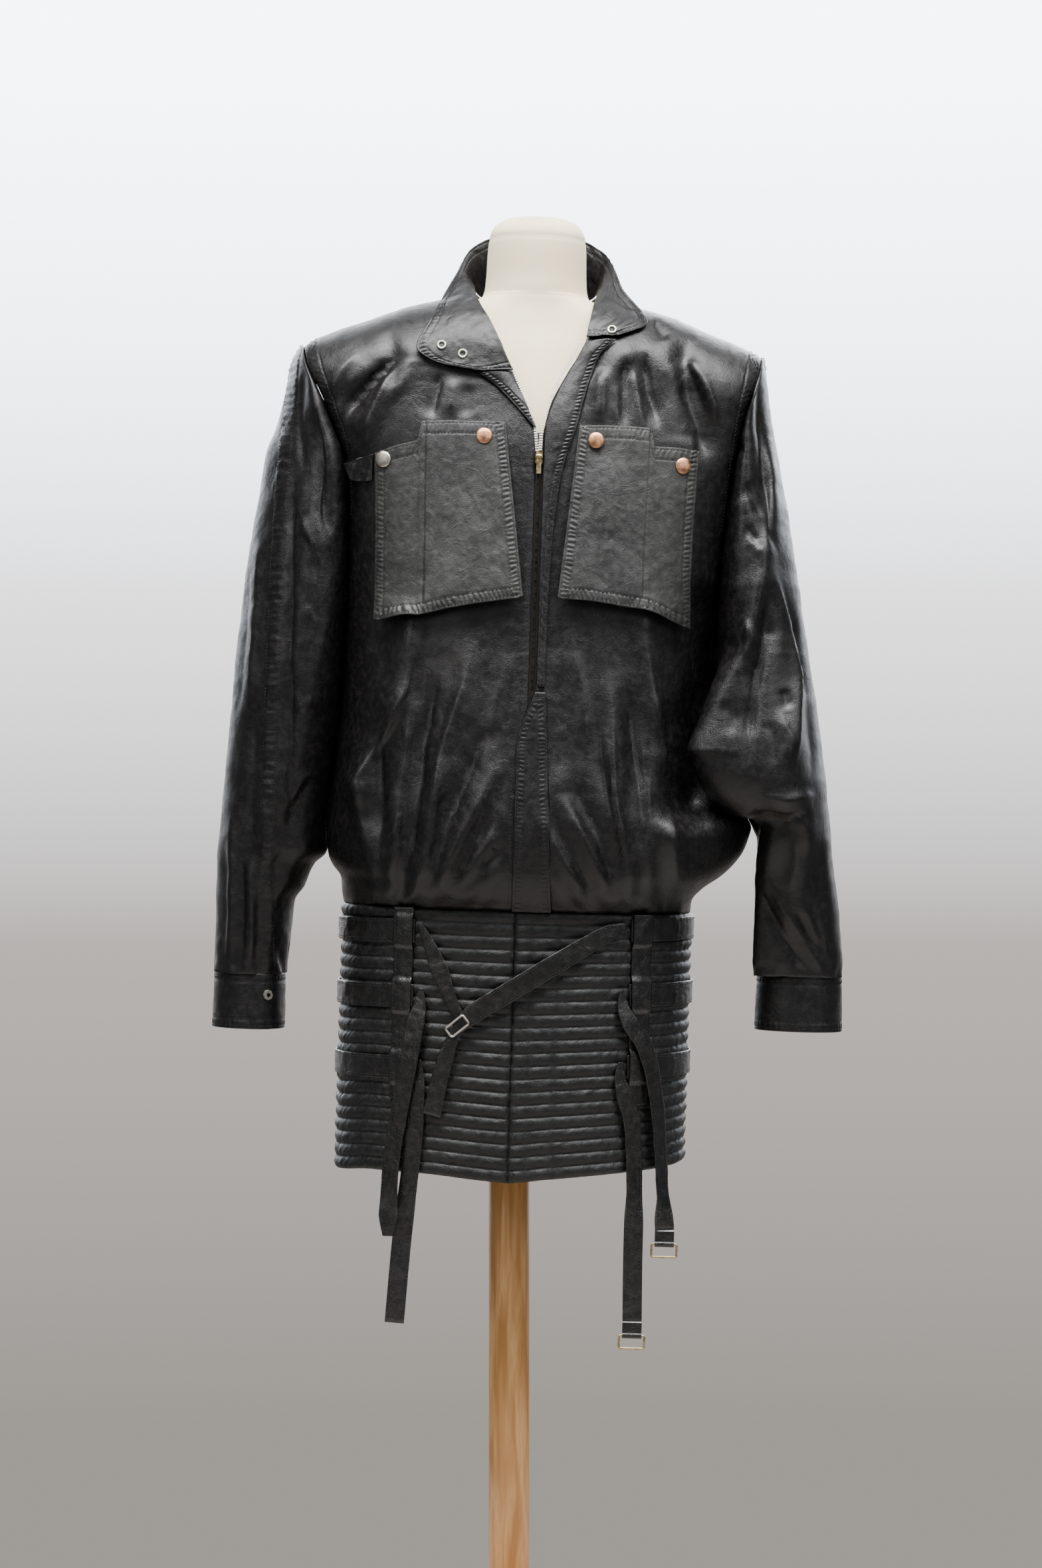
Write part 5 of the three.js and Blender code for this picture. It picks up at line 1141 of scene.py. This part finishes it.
TAPE = {"from": -2, "to": 18, "high": 733, "thick": 1, "behind": WALL + 0.8}
FLY = {"high": 478, "out": WALL + 1.1}
fly_right = curve([(265, 33), (480, 21)])


def front_strip(name, low_x, high_x, high, out, thick, material, slot, replaced, gathered=0.0):
    z = np.linspace(BODY_LOW, high, STRIP_ROWS + 1)[:, None]
    s = np.linspace(0, 1, STRIP_COLS + 1)[None]
    grid = front_points(lerp(low_x(z), high_x(z), s), z + 0 * s, out + 0 * z * s)
    normal = normals_of(grid, 1)
    across = arcs(grid, 1)
    free = np.minimum(across, across[:, -1:] - across)
    relief = gathered * pucker(free, z + 0 * s, 1.8, 8.5, 1.0, 145, 4.4) * smooth((high - z) / 12)
    grid = grid + normal * relief[..., None]
    normal = normals_of(grid, 1)
    cloth(name, grid, normal, replaced=replaced, thick=thick, material=material, slot=slot)
    return grid, normal


front_strip("zip_tape_cloth", lambda z: TAPE["from"] + 0 * z, lambda z: TAPE["to"] + 0 * z, TAPE["high"],
            -TAPE["behind"], TAPE["thick"], TAPE_CLOTH, "tape", "zip_tape")
fly_left = curve([(265, -5), (425, -5), (478, 11)])
fly_grid, fly_normal = front_strip("zip_fly_leather", fly_left, fly_right, FLY["high"],
                                   FLY["out"], WALL, LEATHER, "leather", "zip_fly", 0.26)
for from_end in (False, True):
    cloth_lines["body"].append(along_rows(fly_grid, fly_normal, 2.4, from_end, 0.1))


def boxes(name, centres, ways, sides, sizes, material, slot, body=BODY, local=True):
    """Many small blocks in one mesh, each with its own directions, a little narrower on top."""
    centres, ways, sides = (np.asarray(a, float) for a in (centres, ways, sides))
    ups = np.cross(ways, sides)
    corners = []
    for top in (-1, 1):
        for a, b in ((-1, -1), (1, -1), (1, 1), (-1, 1)):
            slim = 0.75 if top > 0 else 1
            corners.append(centres + (ways * a * sizes[0] * slim + sides * b * sizes[1] * slim
                                      + ups * top * sizes[2]) / 2)
    points = np.stack(corners, 1).reshape(-1, 3)
    block = np.array([[0, 3, 2, 1], [4, 5, 6, 7], [0, 1, 5, 4], [1, 2, 6, 5], [2, 3, 7, 6], [3, 0, 4, 7]])
    faces = [(np.arange(len(centres))[:, None, None] * 8 + block).reshape(-1, 4)]
    made = build(name, points, turned_out(points, faces), material, body, smooth_faces=False, local=local)
    return made


def teeth_along(line, side_way, pitch=2.1, stagger=0.0):
    arc = np.insert(np.cumsum(np.linalg.norm(np.diff(line, axis=0), axis=1)), 0, 0)
    places = np.arange(stagger, arc[-1], pitch)
    centre = np.stack([np.interp(places, arc, line[:, k]) for k in range(3)], -1)
    way = unit(np.gradient(centre, axis=0))
    side = np.broadcast_to(side_way, centre.shape)
    side = unit(side - way * (side * way).sum(-1, keepdims=True))
    return centre, way, side


SLIDER = {"x": 8, "z": 708}
z = np.linspace(430, SLIDER["z"] - 6, 200)
closed_teeth = []
for sign in (-1, 1):
    line = front_points(SLIDER["x"] + sign * 0.55 + 0 * z, z, -0.7 + 0 * z)
    closed_teeth.append(teeth_along(line, (1, 0, 0), 2.1, 0 if sign < 0 else 1.05))
open_teeth = []
for points, out in (([(9, 715), (9.6, 738), (16, 762), (26.8, 788), (36.8, 806), (45.4, 824)], 3.2),
                    ([(6, 715), (3.5, 738), (-2, 757), (-11, 775), (-20, 795)], -0.4)):
    xs, zs = np.array(points, float).T
    fine, index = np.linspace(0, len(points) - 1, 120), np.arange(len(points))
    line = front_points(np.interp(fine, index, xs), np.interp(fine, index, zs), out + 0 * fine)
    open_teeth.append(teeth_along(line, (1, 0, 0), 2.5))
for name, rows, size, material in (("closed", closed_teeth, (1.2, 1.7, 1.2), BRONZE),
                                   ("open", open_teeth, (1.5, 3.4, 2.0), TOOTH_STEEL)):
    teeth = (np.concatenate([row[k] for row in rows]) for k in range(3))
    boxes(f"zip_teeth_{name}", *teeth, size, material, "brass")

# Quilted hip band

LAP = {"left": -2, "right": -1.4}
SIDE_TURN = math.pi / 2 - 0.004
SEAMS = {"front": (-2, 14, 39), "back": (-96, 0, 96)}


def band_turn(x):
    return math.copysign(math.asin((abs(x) / BAND["side"]) ** (BAND["power"] / 2)), x)


def quilted(name, face, start, end, cols, replaced, seed):
    per = 8
    rows = RIBS["count"] * per
    turn = np.linspace(start, end, cols + 1)[None]
    x = np.sign(turn) * BAND["side"] * np.abs(np.sin(turn)) ** (2 / BAND["power"])
    rib = np.linspace(0, RIBS["count"], rows + 1)[:, None]
    z = rib * BAND["height"] / RIBS["count"]
    placed = z + HEM_LIFT[face](x) * (1 - z / BAND["height"])
    base = on_band(x, placed, face, 0)
    across = arcs(base, 1)
    drift = 0.55 * noise(across, z, 40, seed) * smooth(z / 10) * smooth((BAND["height"] - z) / 10)
    wave = np.abs(np.sin(math.pi * (rib + drift / 12.6))) ** 0.62
    uneven = noise(across, np.floor(rib) * 31 + 0 * across, 18, seed + 1)
    rise = RIBS["groove"] + (RIBS["rise"] - 0.2) * wave * (1 + 0.14 * uneven)
    groove = np.exp(-((rib - np.round(rib)) / 0.16) ** 2)
    rise += groove * 0.55 * noise(across, np.round(rib) * 17 + 0 * across, 3.4, seed + 2)
    lean = 1 if start > end else -1
    rise += 0.5 * wave * noise((across + lean * z) * 1.5, (across - lean * z) * 0.3, 6, seed + 3)
    rise += 0.2 * noise(across, z, 6, seed + 4)
    for seam_x in SEAMS[face]:
        rise -= 2.3 * np.exp(-((x - seam_x - 1.5) / 2.1) ** 2) * wave
    rise += 0.5 * smooth((1 - np.abs(z - BAND["height"] + 4) / 6))
    grid = on_band(x, placed, face, rise)
    normal = normals_of(grid, 1 if face == "front" else -1)
    if start > end:
        normal = -normal
    cloth(name, grid, normal, replaced=replaced, thick=BAND["wall"],
          material=QUILT, slot="quilt", coarse=6)
    for k in range(1, RIBS["count"]):
        cloth_lines["band"].append((grid[k * per] + normal[k * per] * 0.1, normal[k * per]))


quilted("band_front_left_quilt", "front", band_turn(LAP["left"]), -SIDE_TURN, 102, "band_front_left", 151)
quilted("band_front_right_quilt", "front", band_turn(LAP["right"]), SIDE_TURN, 102, "band_front_right", 161)
quilted("band_back_quilt", "back", -SIDE_TURN, SIDE_TURN, 204, "band_back", 171)

# Straps

STRAP_HEIGHTS = [246, 182, 112]


def rounded(width, thick, n=16):
    """Section of a strap: flat with round edges and a slight bulge."""
    turn = np.linspace(0, 2 * math.pi, n, endpoint=False)
    c, s = np.cos(turn), np.sin(turn)
    return (np.sign(c) * np.abs(c) ** 0.35 * width / 2, np.sign(s) * np.abs(s) ** 0.6 * thick / 2)


def ribbon(name, path, wide_way, widths, thick, material, seed, replaced, slot="strap", relief=0.7):
    path = np.asarray(path, float)
    along = unit(np.gradient(path, axis=0))
    wide = unit(wide_way - along * (wide_way * along).sum(-1, keepdims=True))
    deep = np.cross(along, wide)
    a, b = rounded(1, 1)
    arc = np.insert(np.cumsum(np.linalg.norm(np.diff(path, axis=0), axis=1)), 0, 0)[:, None]
    half = a[None] * widths[:, None]
    bumps = relief * (noise(arc + 0 * half, half * 1.2, 9, seed) * 0.7
                      + noise(arc + 0 * half, half, 4, seed + 1) * 0.35)
    seam_line = -0.25 * np.exp(-((np.abs(half) - widths[:, None] / 2 + 3) / 0.7) ** 2)
    lift = b[None] * thick + bumps + seam_line * np.sign(b)[None]
    rings = path[:, None] + wide[:, None] * half[..., None] + deep[:, None] * lift[..., None]
    piece = finish_piece(tube(name, rings, material), slot, replaced)
    outward = unit(deep * np.sign((deep * (path * (1, 1, 0))).sum(-1, keepdims=True)))
    for edge_side in (-1, 1):
        line = path + wide * (edge_side * (widths[:, None] / 2 - 3)) + outward * (thick / 2 + 0.05)
        cloth_lines["straps"].append((line[widths > 10], outward[widths > 10]))
    width, length = widths.max() / 1000, arc[-1, 0] / 1000
    return piece, width, length


for name, height in zip(("top", "middle", "low"), STRAP_HEIGHTS):
    out = STRAP["lift"] + STRAP["thick"] / 2
    start, end = band_turn(STRAP["from"]), band_turn(STRAP["to"])
    runs = [("front", np.linspace(start, -math.pi / 2, 70, endpoint=False)),
            ("back", np.linspace(-math.pi / 2, math.pi / 2, 200, endpoint=False)),
            ("front", np.linspace(math.pi / 2, end, 70))]
    path = []
    for face, turn in runs:
        x = np.sign(turn) * BAND["side"] * np.abs(np.sin(turn)) ** (2 / BAND["power"])
        z = height + x * 0.03
        path.append(on_band(x, z, face, out + 0.35 * noise(x, z + (300 if face == "back" else 0), 14, 181)))
    path = np.concatenate(path)
    up = np.broadcast_to((0.0, 0.0, 1.0), path.shape)
    widths = np.full(len(path), float(STRAP["width"]))
    piece, width, length = ribbon(f"hip_strap_{name}_leather", path, up, widths, STRAP["thick"],
                                  STRAP_LEATHER, 183, f"hip_strap_{name}")

TAILS = {
    "strap_top_left_end": [(-92, 248, 6, 4.9), (-84, 232, 12, 5.6), (-72, 205, 18, 6.5), (-60, 176, 12, 6.5),
                           (-50, 159, 8, 6.5)],
    "strap_top_right_end": [(105, 253, 8, 4.9), (88, 246, 17, 6.2), (40, 216, 20, 8), (-6, 186, 20, 8.6),
                            (-40, 163, 19, 9), (-54, 147, 11, 9), (-64, 118, 16, 9), (-75, 64, 19, 9)],
    "strap_middle_left_end": [(-90.5, 187, 6, 4.9), (-90, 172, 12, 5.8), (-92.5, 155, 19, 8.6),
                              (-96, 124, 19, 10.8), (-104, 70, 19, 11), (-110, 16, 19, 12.5),
                              (-110, -36, 19, 15), (-110, -56, 10, 15)],
    "strap_low_left_end": [(-90.5, 117, 6, 4.9), (-90, 103, 12, 5.4), (-91, 88, 19, 6.6),
                           (-91.5, 50, 19, 6.6), (-94, 14, 19, 6.6), (-100, -56, 19, 6.6),
                           (-105, -141, 19, 6.6)],
    "strap_middle_right_end": [(105, 191, 6, 4.9), (103.5, 177, 11, 6.4), (109, 160, 18, 9.6),
                               (121, 141, 19, 10.4), (129, 118, 19, 10.8), (137, 75, 19, 10.8),
                               (141, 31, 19, 10.8), (147, -46, 19, 10.8)],
    "strap_low_right_end": [(104, 120, 6, 4.9), (103.5, 106, 12, 5.6), (107, 88, 17, 6.9),
                            (114.5, 66, 19, 6.9), (119, 17, 19, 6.9), (120.3, -79, 19, 6.9),
                            (121.4, -134, 19, 6.9)],
}
for k, (name, rows) in enumerate(TAILS.items()):
    table = np.array(rows, float)
    points = on_band(table[:, 0], table[:, 1], "front", table[:, 3])
    t = np.linspace(0, 1, 120)
    path = spline(points)(t)
    widths = np.interp(t * (len(rows) - 1), np.arange(len(rows)), table[:, 2])
    facing = on_band(path[:, 0], path[:, 2], "front", 1) - on_band(path[:, 0], path[:, 2], "front", 0)
    free = smooth((-8 - path[:, 2]) / 40)[:, None]
    facing = lerp(facing, np.array([0.0, -1.0, 0.0]), free)
    across = unit(np.cross(facing, np.gradient(path, axis=0)))
    piece, width, length = ribbon(f"{name}_leather", path, across, widths, STRAP["thick"], STRAP_LEATHER,
                                  191 + k, name)

for name, x in (("left", LOOPS["left"]), ("right", LOOPS["right"])):
    flat = RIBS["rise"] + RIBS["groove"] + LOOPS["thick"]
    raised = STRAP["lift"] + STRAP["thick"] + 0.5 + LOOPS["thick"]
    over = STRAP["width"] / 2 + 1.8
    rows = [(LOOPS["bottom"], flat)]
    for height in STRAP_HEIGHTS[::-1]:
        z = height + x * 0.03
        rows += [(z - over - 6, flat), (z - over, raised), (z, raised + 0.4)]
        if z + over + 6 < BAND["height"]:
            rows += [(z + over, raised), (z + over + 6, flat)]
    rows.append((BAND["height"] - 0.6, raised))
    z = np.linspace(LOOPS["bottom"], BAND["height"] - 0.6, 150 + 1)[:, None]
    s = np.linspace(-0.5, 0.5, 15 + 1)[None]
    out = curve(rows)(z) + 0.35 * noise(s * LOOPS["width"] + x, z, 7, 201) + 0.3 * (1 - (2 * s) ** 4)
    grid = on_band(x + s * LOOPS["width"], z + 0 * s, "front", out)
    normal = normals_of(grid, 1)
    cloth(f"loop_strip_{name}_leather", grid, normal,
          replaced=f"loop_strip_{name}", thick=LOOPS["thick"], material=STRAP_LEATHER, slot="strap")
    for from_end in (False, True):
        cloth_lines["straps"].append(along_rows(grid, normal, 2.2, from_end, 0.1))

for name, lines in cloth_lines.items():
    made = stitches(f"stitching_{name}", lines, THREAD, pitch=3.4 if name != "band" else 4.2)

# Dress form

FORM = np.array([
    (96, 150, 88, 92), (100, 156, 93, 97), (160, 160, 97, 101), (240, 148, 93, 94), (340, 122, 84, 78),
    (450, 130, 92, 80), (560, 142, 108, 86), (640, 148, 112, 90), (720, 150, 98, 92), (780, 153, 80, 86),
    (820, 150, 65, 74), (845, 138, 54, 66), (857, 112, 50, 54), (864.5, 88, 48, 46), (870.3, 70, 47, 43),
    (874.5, 60, 46.5, 42), (878, 54, 46, 42), (886, 51.5, 46, 43), (898, 50.5, 45.5, 44), (925, 49.5, 46, 45),
    (940, 48, 45, 44), (951, 41, 38, 37), (958, 25, 23, 23), (960, 7, 7, 7),
], float)
k = np.linspace(0, len(FORM) - 1, 132)
z, wide, front, back = (curve(np.stack([np.arange(len(FORM)), FORM[:, c]], 1))(k)[:, None] for c in range(4))
turn = np.linspace(0, 2 * math.pi, 128, endpoint=False)[None]
c, s = np.cos(turn), np.sin(turn)
power = np.where(z > 880, 2.0, 2.2)
deep = np.where(s < 0, front, back)
x = np.sign(c) * wide * np.abs(c) ** (2 / power)
y = np.sign(s) * deep * np.abs(s) ** (2 / power)
gather = smooth((z - 944) / 12)
pleats = 0.05 * gather * np.sin(turn * 24 + 1.6 * noise(turn * 40, z, 9, 211))
cap_edge = -0.014 * np.exp(-((z - 936) / 1.6) ** 2)
x = x * (1 + pleats + cap_edge)
y = y * (1 + pleats + cap_edge)
finish_piece(tube("dress_form_jersey", np.stack([x, y, z + 0 * x], -1), JERSEY), "jersey", "dress_form")

# Rings, buckle, snaps, slider and pull tab

RING = {"width": 27, "height": 15, "bar": 1.1, "play": 0.3, "fold": 13}


def frame_path(width, height, bar, corner, n=8):
    x, z = width / 2 - bar - corner, height / 2 - bar - corner
    corners = [(x, -z, -90), (x, z, 0), (-x, z, 90), (-x, -z, 180)]
    path = []
    for cx, cz, first in corners:
        for a in np.radians(np.linspace(first, first + 90, n)):
            path.append((cx + corner * math.cos(a), 0, cz + corner * math.sin(a)))
    return np.array(path)


def bar_loop(name, path, radius, material, slot, replaced, body=BODY, turn=None, shift=(0, 0, 0)):
    along = unit(np.roll(path, -1, 0) - np.roll(path, 1, 0))
    across = np.array([0.0, 1.0, 0.0])
    third = np.cross(along, across)
    a = np.linspace(0, 2 * math.pi, 14, endpoint=False)
    rings = path[:, None] + radius * (np.cos(a)[None, :, None] * across
                                      + np.sin(a)[None, :, None] * third[:, None])
    if turn is not None:
        rings = rings @ np.array(turn.to_3x3()).T
    piece = tube(name, rings + np.array(shift), material, body, closed=True)
    return finish_piece(piece, slot, replaced)


for name, tail in (("middle", "strap_middle_right_end"), ("low", "strap_low_right_end")):
    x, z, _, out = TAILS[tail][-1]
    axis = on_band(x, z, "front", out)
    axis[2] -= 3 * SEAM + RING["fold"]
    drop = RING["height"] / 2 - RING["bar"]
    bar_loop(f"ring_{name}_brass", frame_path(RING["width"], RING["height"], RING["bar"], 2), RING["bar"],
             BRASS, "brass", f"ring_buckle_{name}", f"ring_{name}", shift=axis - (0, 0, drop))

BUCKLE = {"x": -53, "z": 152, "width": 24, "height": 13, "bar": 1.1, "tilt": 0.7, "lift": 11.6}
place = on_band(BUCKLE["x"], BUCKLE["z"], "front", BUCKLE["lift"])
turn = Matrix.Rotation(-0.12, 4, "Z") @ Matrix.Rotation(-BUCKLE["tilt"], 4, "Y")
bar_loop("centre_buckle_steel", frame_path(BUCKLE["width"], BUCKLE["height"], BUCKLE["bar"], 2),
         BUCKLE["bar"], STEEL, "steel", "centre_buckle", turn=turn, shift=place)


def lathe(name, profile, material, slot, replaced, place, facing, count=40, closed=False):
    """Turned piece: profile of radius and height, standing on a place and facing a way."""
    profile = np.array(profile, float)
    facing = unit(np.asarray(facing, float))
    side = unit(np.cross(facing, (0.3, 0.1, 1.0)))
    third = np.cross(facing, side)
    a = np.linspace(0, 2 * math.pi, count, endpoint=False)[None, :, None]
    rings = (np.asarray(place) + profile[:, 1, None, None] * facing
             + profile[:, 0, None, None] * (np.cos(a) * side + np.sin(a) * third))
    return finish_piece(tube(name, rings, material, closed=closed), slot, replaced)


CAP = [(0.05, 0), (7.6, 0), (8, 0.3), (8, 1.0), (7.7, 1.5), (6.6, 2.2), (4.5, 2.75), (2.2, 2.95), (0.05, 3.0)]
SNAPS = [("left_outer", "left", -143, 703, STEEL, "steel"),
         ("left_inner", "left", -46, 727, COPPER, "copper"),
         ("right_inner", "right", 63, 726, COPPER, "copper"),
         ("right_outer", "right", 148, 705, COPPER, "copper")]
for name, side_name, x, z, material, slot in SNAPS:
    table = FLAPS[side_name]
    high = curve([(row[0], row[1]) for row in table])(x)
    low = curve([(row[0], row[3]) for row in table])(x)
    v = (high - z) / (high - low)
    spot = np.array(float(x)), np.array(float(z))
    seat = front_points(*spot, flap_lift(v) + 0.6)
    facing = front_points(*spot, 1.0) - front_points(*spot, 0.0)
    lathe(f"snap_{name}_cap", CAP, material, slot, f"snap_{name}", seat, facing)

RING_PROFILE = [(2.4, 0), (4.9, 0), (5, 0.4), (4.7, 1.1), (4.0, 1.4), (3.2, 1.2), (2.6, 0.9)]
for i, (x, z) in enumerate([(-91, 817), (-70, 809), (76, 838)]):
    front_half = collar_grid[..., 1] < 0
    off = np.hypot(collar_grid[..., 0] - x, collar_grid[..., 2] - z) + 1000 * ~front_half
    a, b = np.unravel_index(off.argmin(), off.shape)
    lathe(f"snap_ring_collar_{i + 1}_steel", RING_PROFILE, STEEL, "steel", f"snap_ring_collar_{i + 1}",
          collar_grid[a, b] + collar_normal[a, b] * 0.2, collar_normal[a, b], closed=True)

for part_name in ("snap_ring_cuff", "strap_fold_middle", "strap_fold_low", "zip_slider", "zip_pull_tab"):
    made = {"snap_ring_cuff": STEEL, "zip_slider": BRASS, "zip_pull_tab": BRASS}.get(part_name, STRAP_LEATHER)
    shown = frame["nodes"][part_name]
    shown.data.materials.clear()
    shown.data.materials.append(made)

# Pole and base

POLE_SPANS, BASE_SPANS = 72, 160
pole_low = BASE["height"] + SEAM
pole_top = HEM_HEIGHT + 96 * math.cos(LEAN) - POLE_RADIUS * math.sin(LEAN) - 2 * SEAM


def turned_wood(name, profile, spans):
    a = np.linspace(0, 2 * math.pi, spans, endpoint=False)
    rings = [np.stack([radius * np.cos(a), radius * np.sin(a), 0 * a + z], -1) / 1000
             for radius, z in profile]
    finish_piece(tube(f"{name}_pine", rings, PINE, local=False), "pine", name)


turned_wood("pole", [(POLE_RADIUS - 1, pole_low), (POLE_RADIUS, pole_low + 1), (POLE_RADIUS, pole_top - 1),
                     (POLE_RADIUS - 1, pole_top)], POLE_SPANS)
turned_wood("base", [(1, 0), (186, 0), (188, 0.4), (190, 3), (190, 17), (189.4, 20), (187, 23.2), (184, 25),
                     (180, 26), (1, 26)], BASE_SPANS)

# Room: a round floor, a backdrop in the world's own light, soft lamps, and the camera

FLOOR = {"radius": 1.15, "front": 0.58}
BACKDROP = [(0.1, (0.05, 0.046, 0.042, 1)), (0.4, (0.085, 0.078, 0.074, 1)), (0.62, (0.27, 0.27, 0.28, 1)),
            (0.8, (0.62, 0.66, 0.73, 1)), (0.97, (0.9, 0.95, 1, 1))]
BACKDROP_LIGHT = 8
ROOM_TONE = (0.021, 0.0215, 0.0225, 1)
# Name, place, target, size, power and tint
LAMPS = [
    ("key_above", (0.1, -0.75, 3.1), (0, 0, 0.9), (2.4, 1.4), 140, (0.98, 0.98, 1.0)),
    ("front_left", (-1.9, -2.6, 2.2), (0, 0, 1.0), (1.0, 1.4), 16, (1.0, 0.97, 0.94)),
    ("front_right", (2.2, -2.2, 2.4), (0, 0, 1.1), (1.0, 1.4), 22, (0.97, 0.98, 1.0)),
    ("top_front", (0, -1.0, 3.5), (0, 0.7, 1.5), (3.4, 0.8), 120, (1, 1, 1)),
    ("behind", (0.9, 2.6, 2.6), (0, 0, 1.0), (2.0, 1.2), 40, (1, 1, 1)),
]
# Level with the middle of the photograph, in metres and millimetres of lens and sensor
CAMERA = {"place": (0.012, -3.6, 0.929), "lens": 82, "sensor": 36}


def floor_disc():
    a = np.linspace(0, 2 * math.pi, 96, endpoint=False)
    rim = np.stack([FLOOR["radius"] * np.cos(a), FLOOR["radius"] * np.sin(a) - FLOOR["front"], 0 * a], -1)
    mesh = bpy.data.meshes.new("floor")
    mesh.from_pydata(rim.tolist(), [], [list(range(len(rim)))])
    made, shader = new_material("floor_paper", 0.95)
    place = node(made, "ShaderNodeTexCoord").outputs["Object"]
    cloud = speckle(made, place, 2.5, 3)
    link(made, ramp(made, cloud, [(0.3, colour("a8a39e")), (0.7, colour("b2ada8"))]), shader, "Base Color")
    mesh.materials.append(made)
    floor = bpy.data.objects.new("floor", mesh)
    bpy.context.scene.collection.objects.link(floor)
    floor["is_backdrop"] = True


def backdrop():
    """Behind the jacket the room is bright above and grey below; on every other side it is dim."""
    world = bpy.data.worlds.new("room")
    world.use_nodes = True
    toward = node(world, "ShaderNodeTexCoord").outputs["Generated"]
    axes = node(world, "ShaderNodeSeparateXYZ", {"Vector": toward}).outputs
    high = node(world, "ShaderNodeMapRange",
                {"Value": axes["Z"], "From Min": -0.22, "From Max": 0.22}).outputs["Result"]
    ahead = node(world, "ShaderNodeMapRange", {"Value": axes["Y"], "From Min": 0.6, "From Max": 0.95},
                 interpolation_type="SMOOTHSTEP").outputs["Result"]
    tone = mixed(world, ahead, ROOM_TONE, ramp(world, high, BACKDROP))
    light = world.node_tree.nodes["Background"]
    link(world, tone, light, "Color")
    light.inputs["Strength"].default_value = BACKDROP_LIGHT
    bpy.context.scene.world = world


def area_light(name, place, target, size, power, tint):
    data = bpy.data.lights.new(name, "AREA")
    data.shape = "RECTANGLE"
    data.size, data.size_y = size
    data.energy = power
    data.color = tint
    lamp = bpy.data.objects.new(name, data)
    lamp.location = place
    lamp.rotation_euler = (Vector(target) - Vector(place)).to_track_quat("-Z", "Y").to_euler()
    bpy.context.scene.collection.objects.link(lamp)


floor_disc()
backdrop()
for lamp_row in LAMPS:
    area_light(*lamp_row)
camera_data = bpy.data.cameras.new("camera")
camera_data.lens, camera_data.sensor_width = CAMERA["lens"], CAMERA["sensor"]
camera = bpy.data.objects.new("camera", camera_data)
camera.location = CAMERA["place"]
camera.rotation_euler = (math.pi / 2, 0, 0)
bpy.context.scene.collection.objects.link(camera)
bpy.context.scene.camera = camera

low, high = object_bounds()
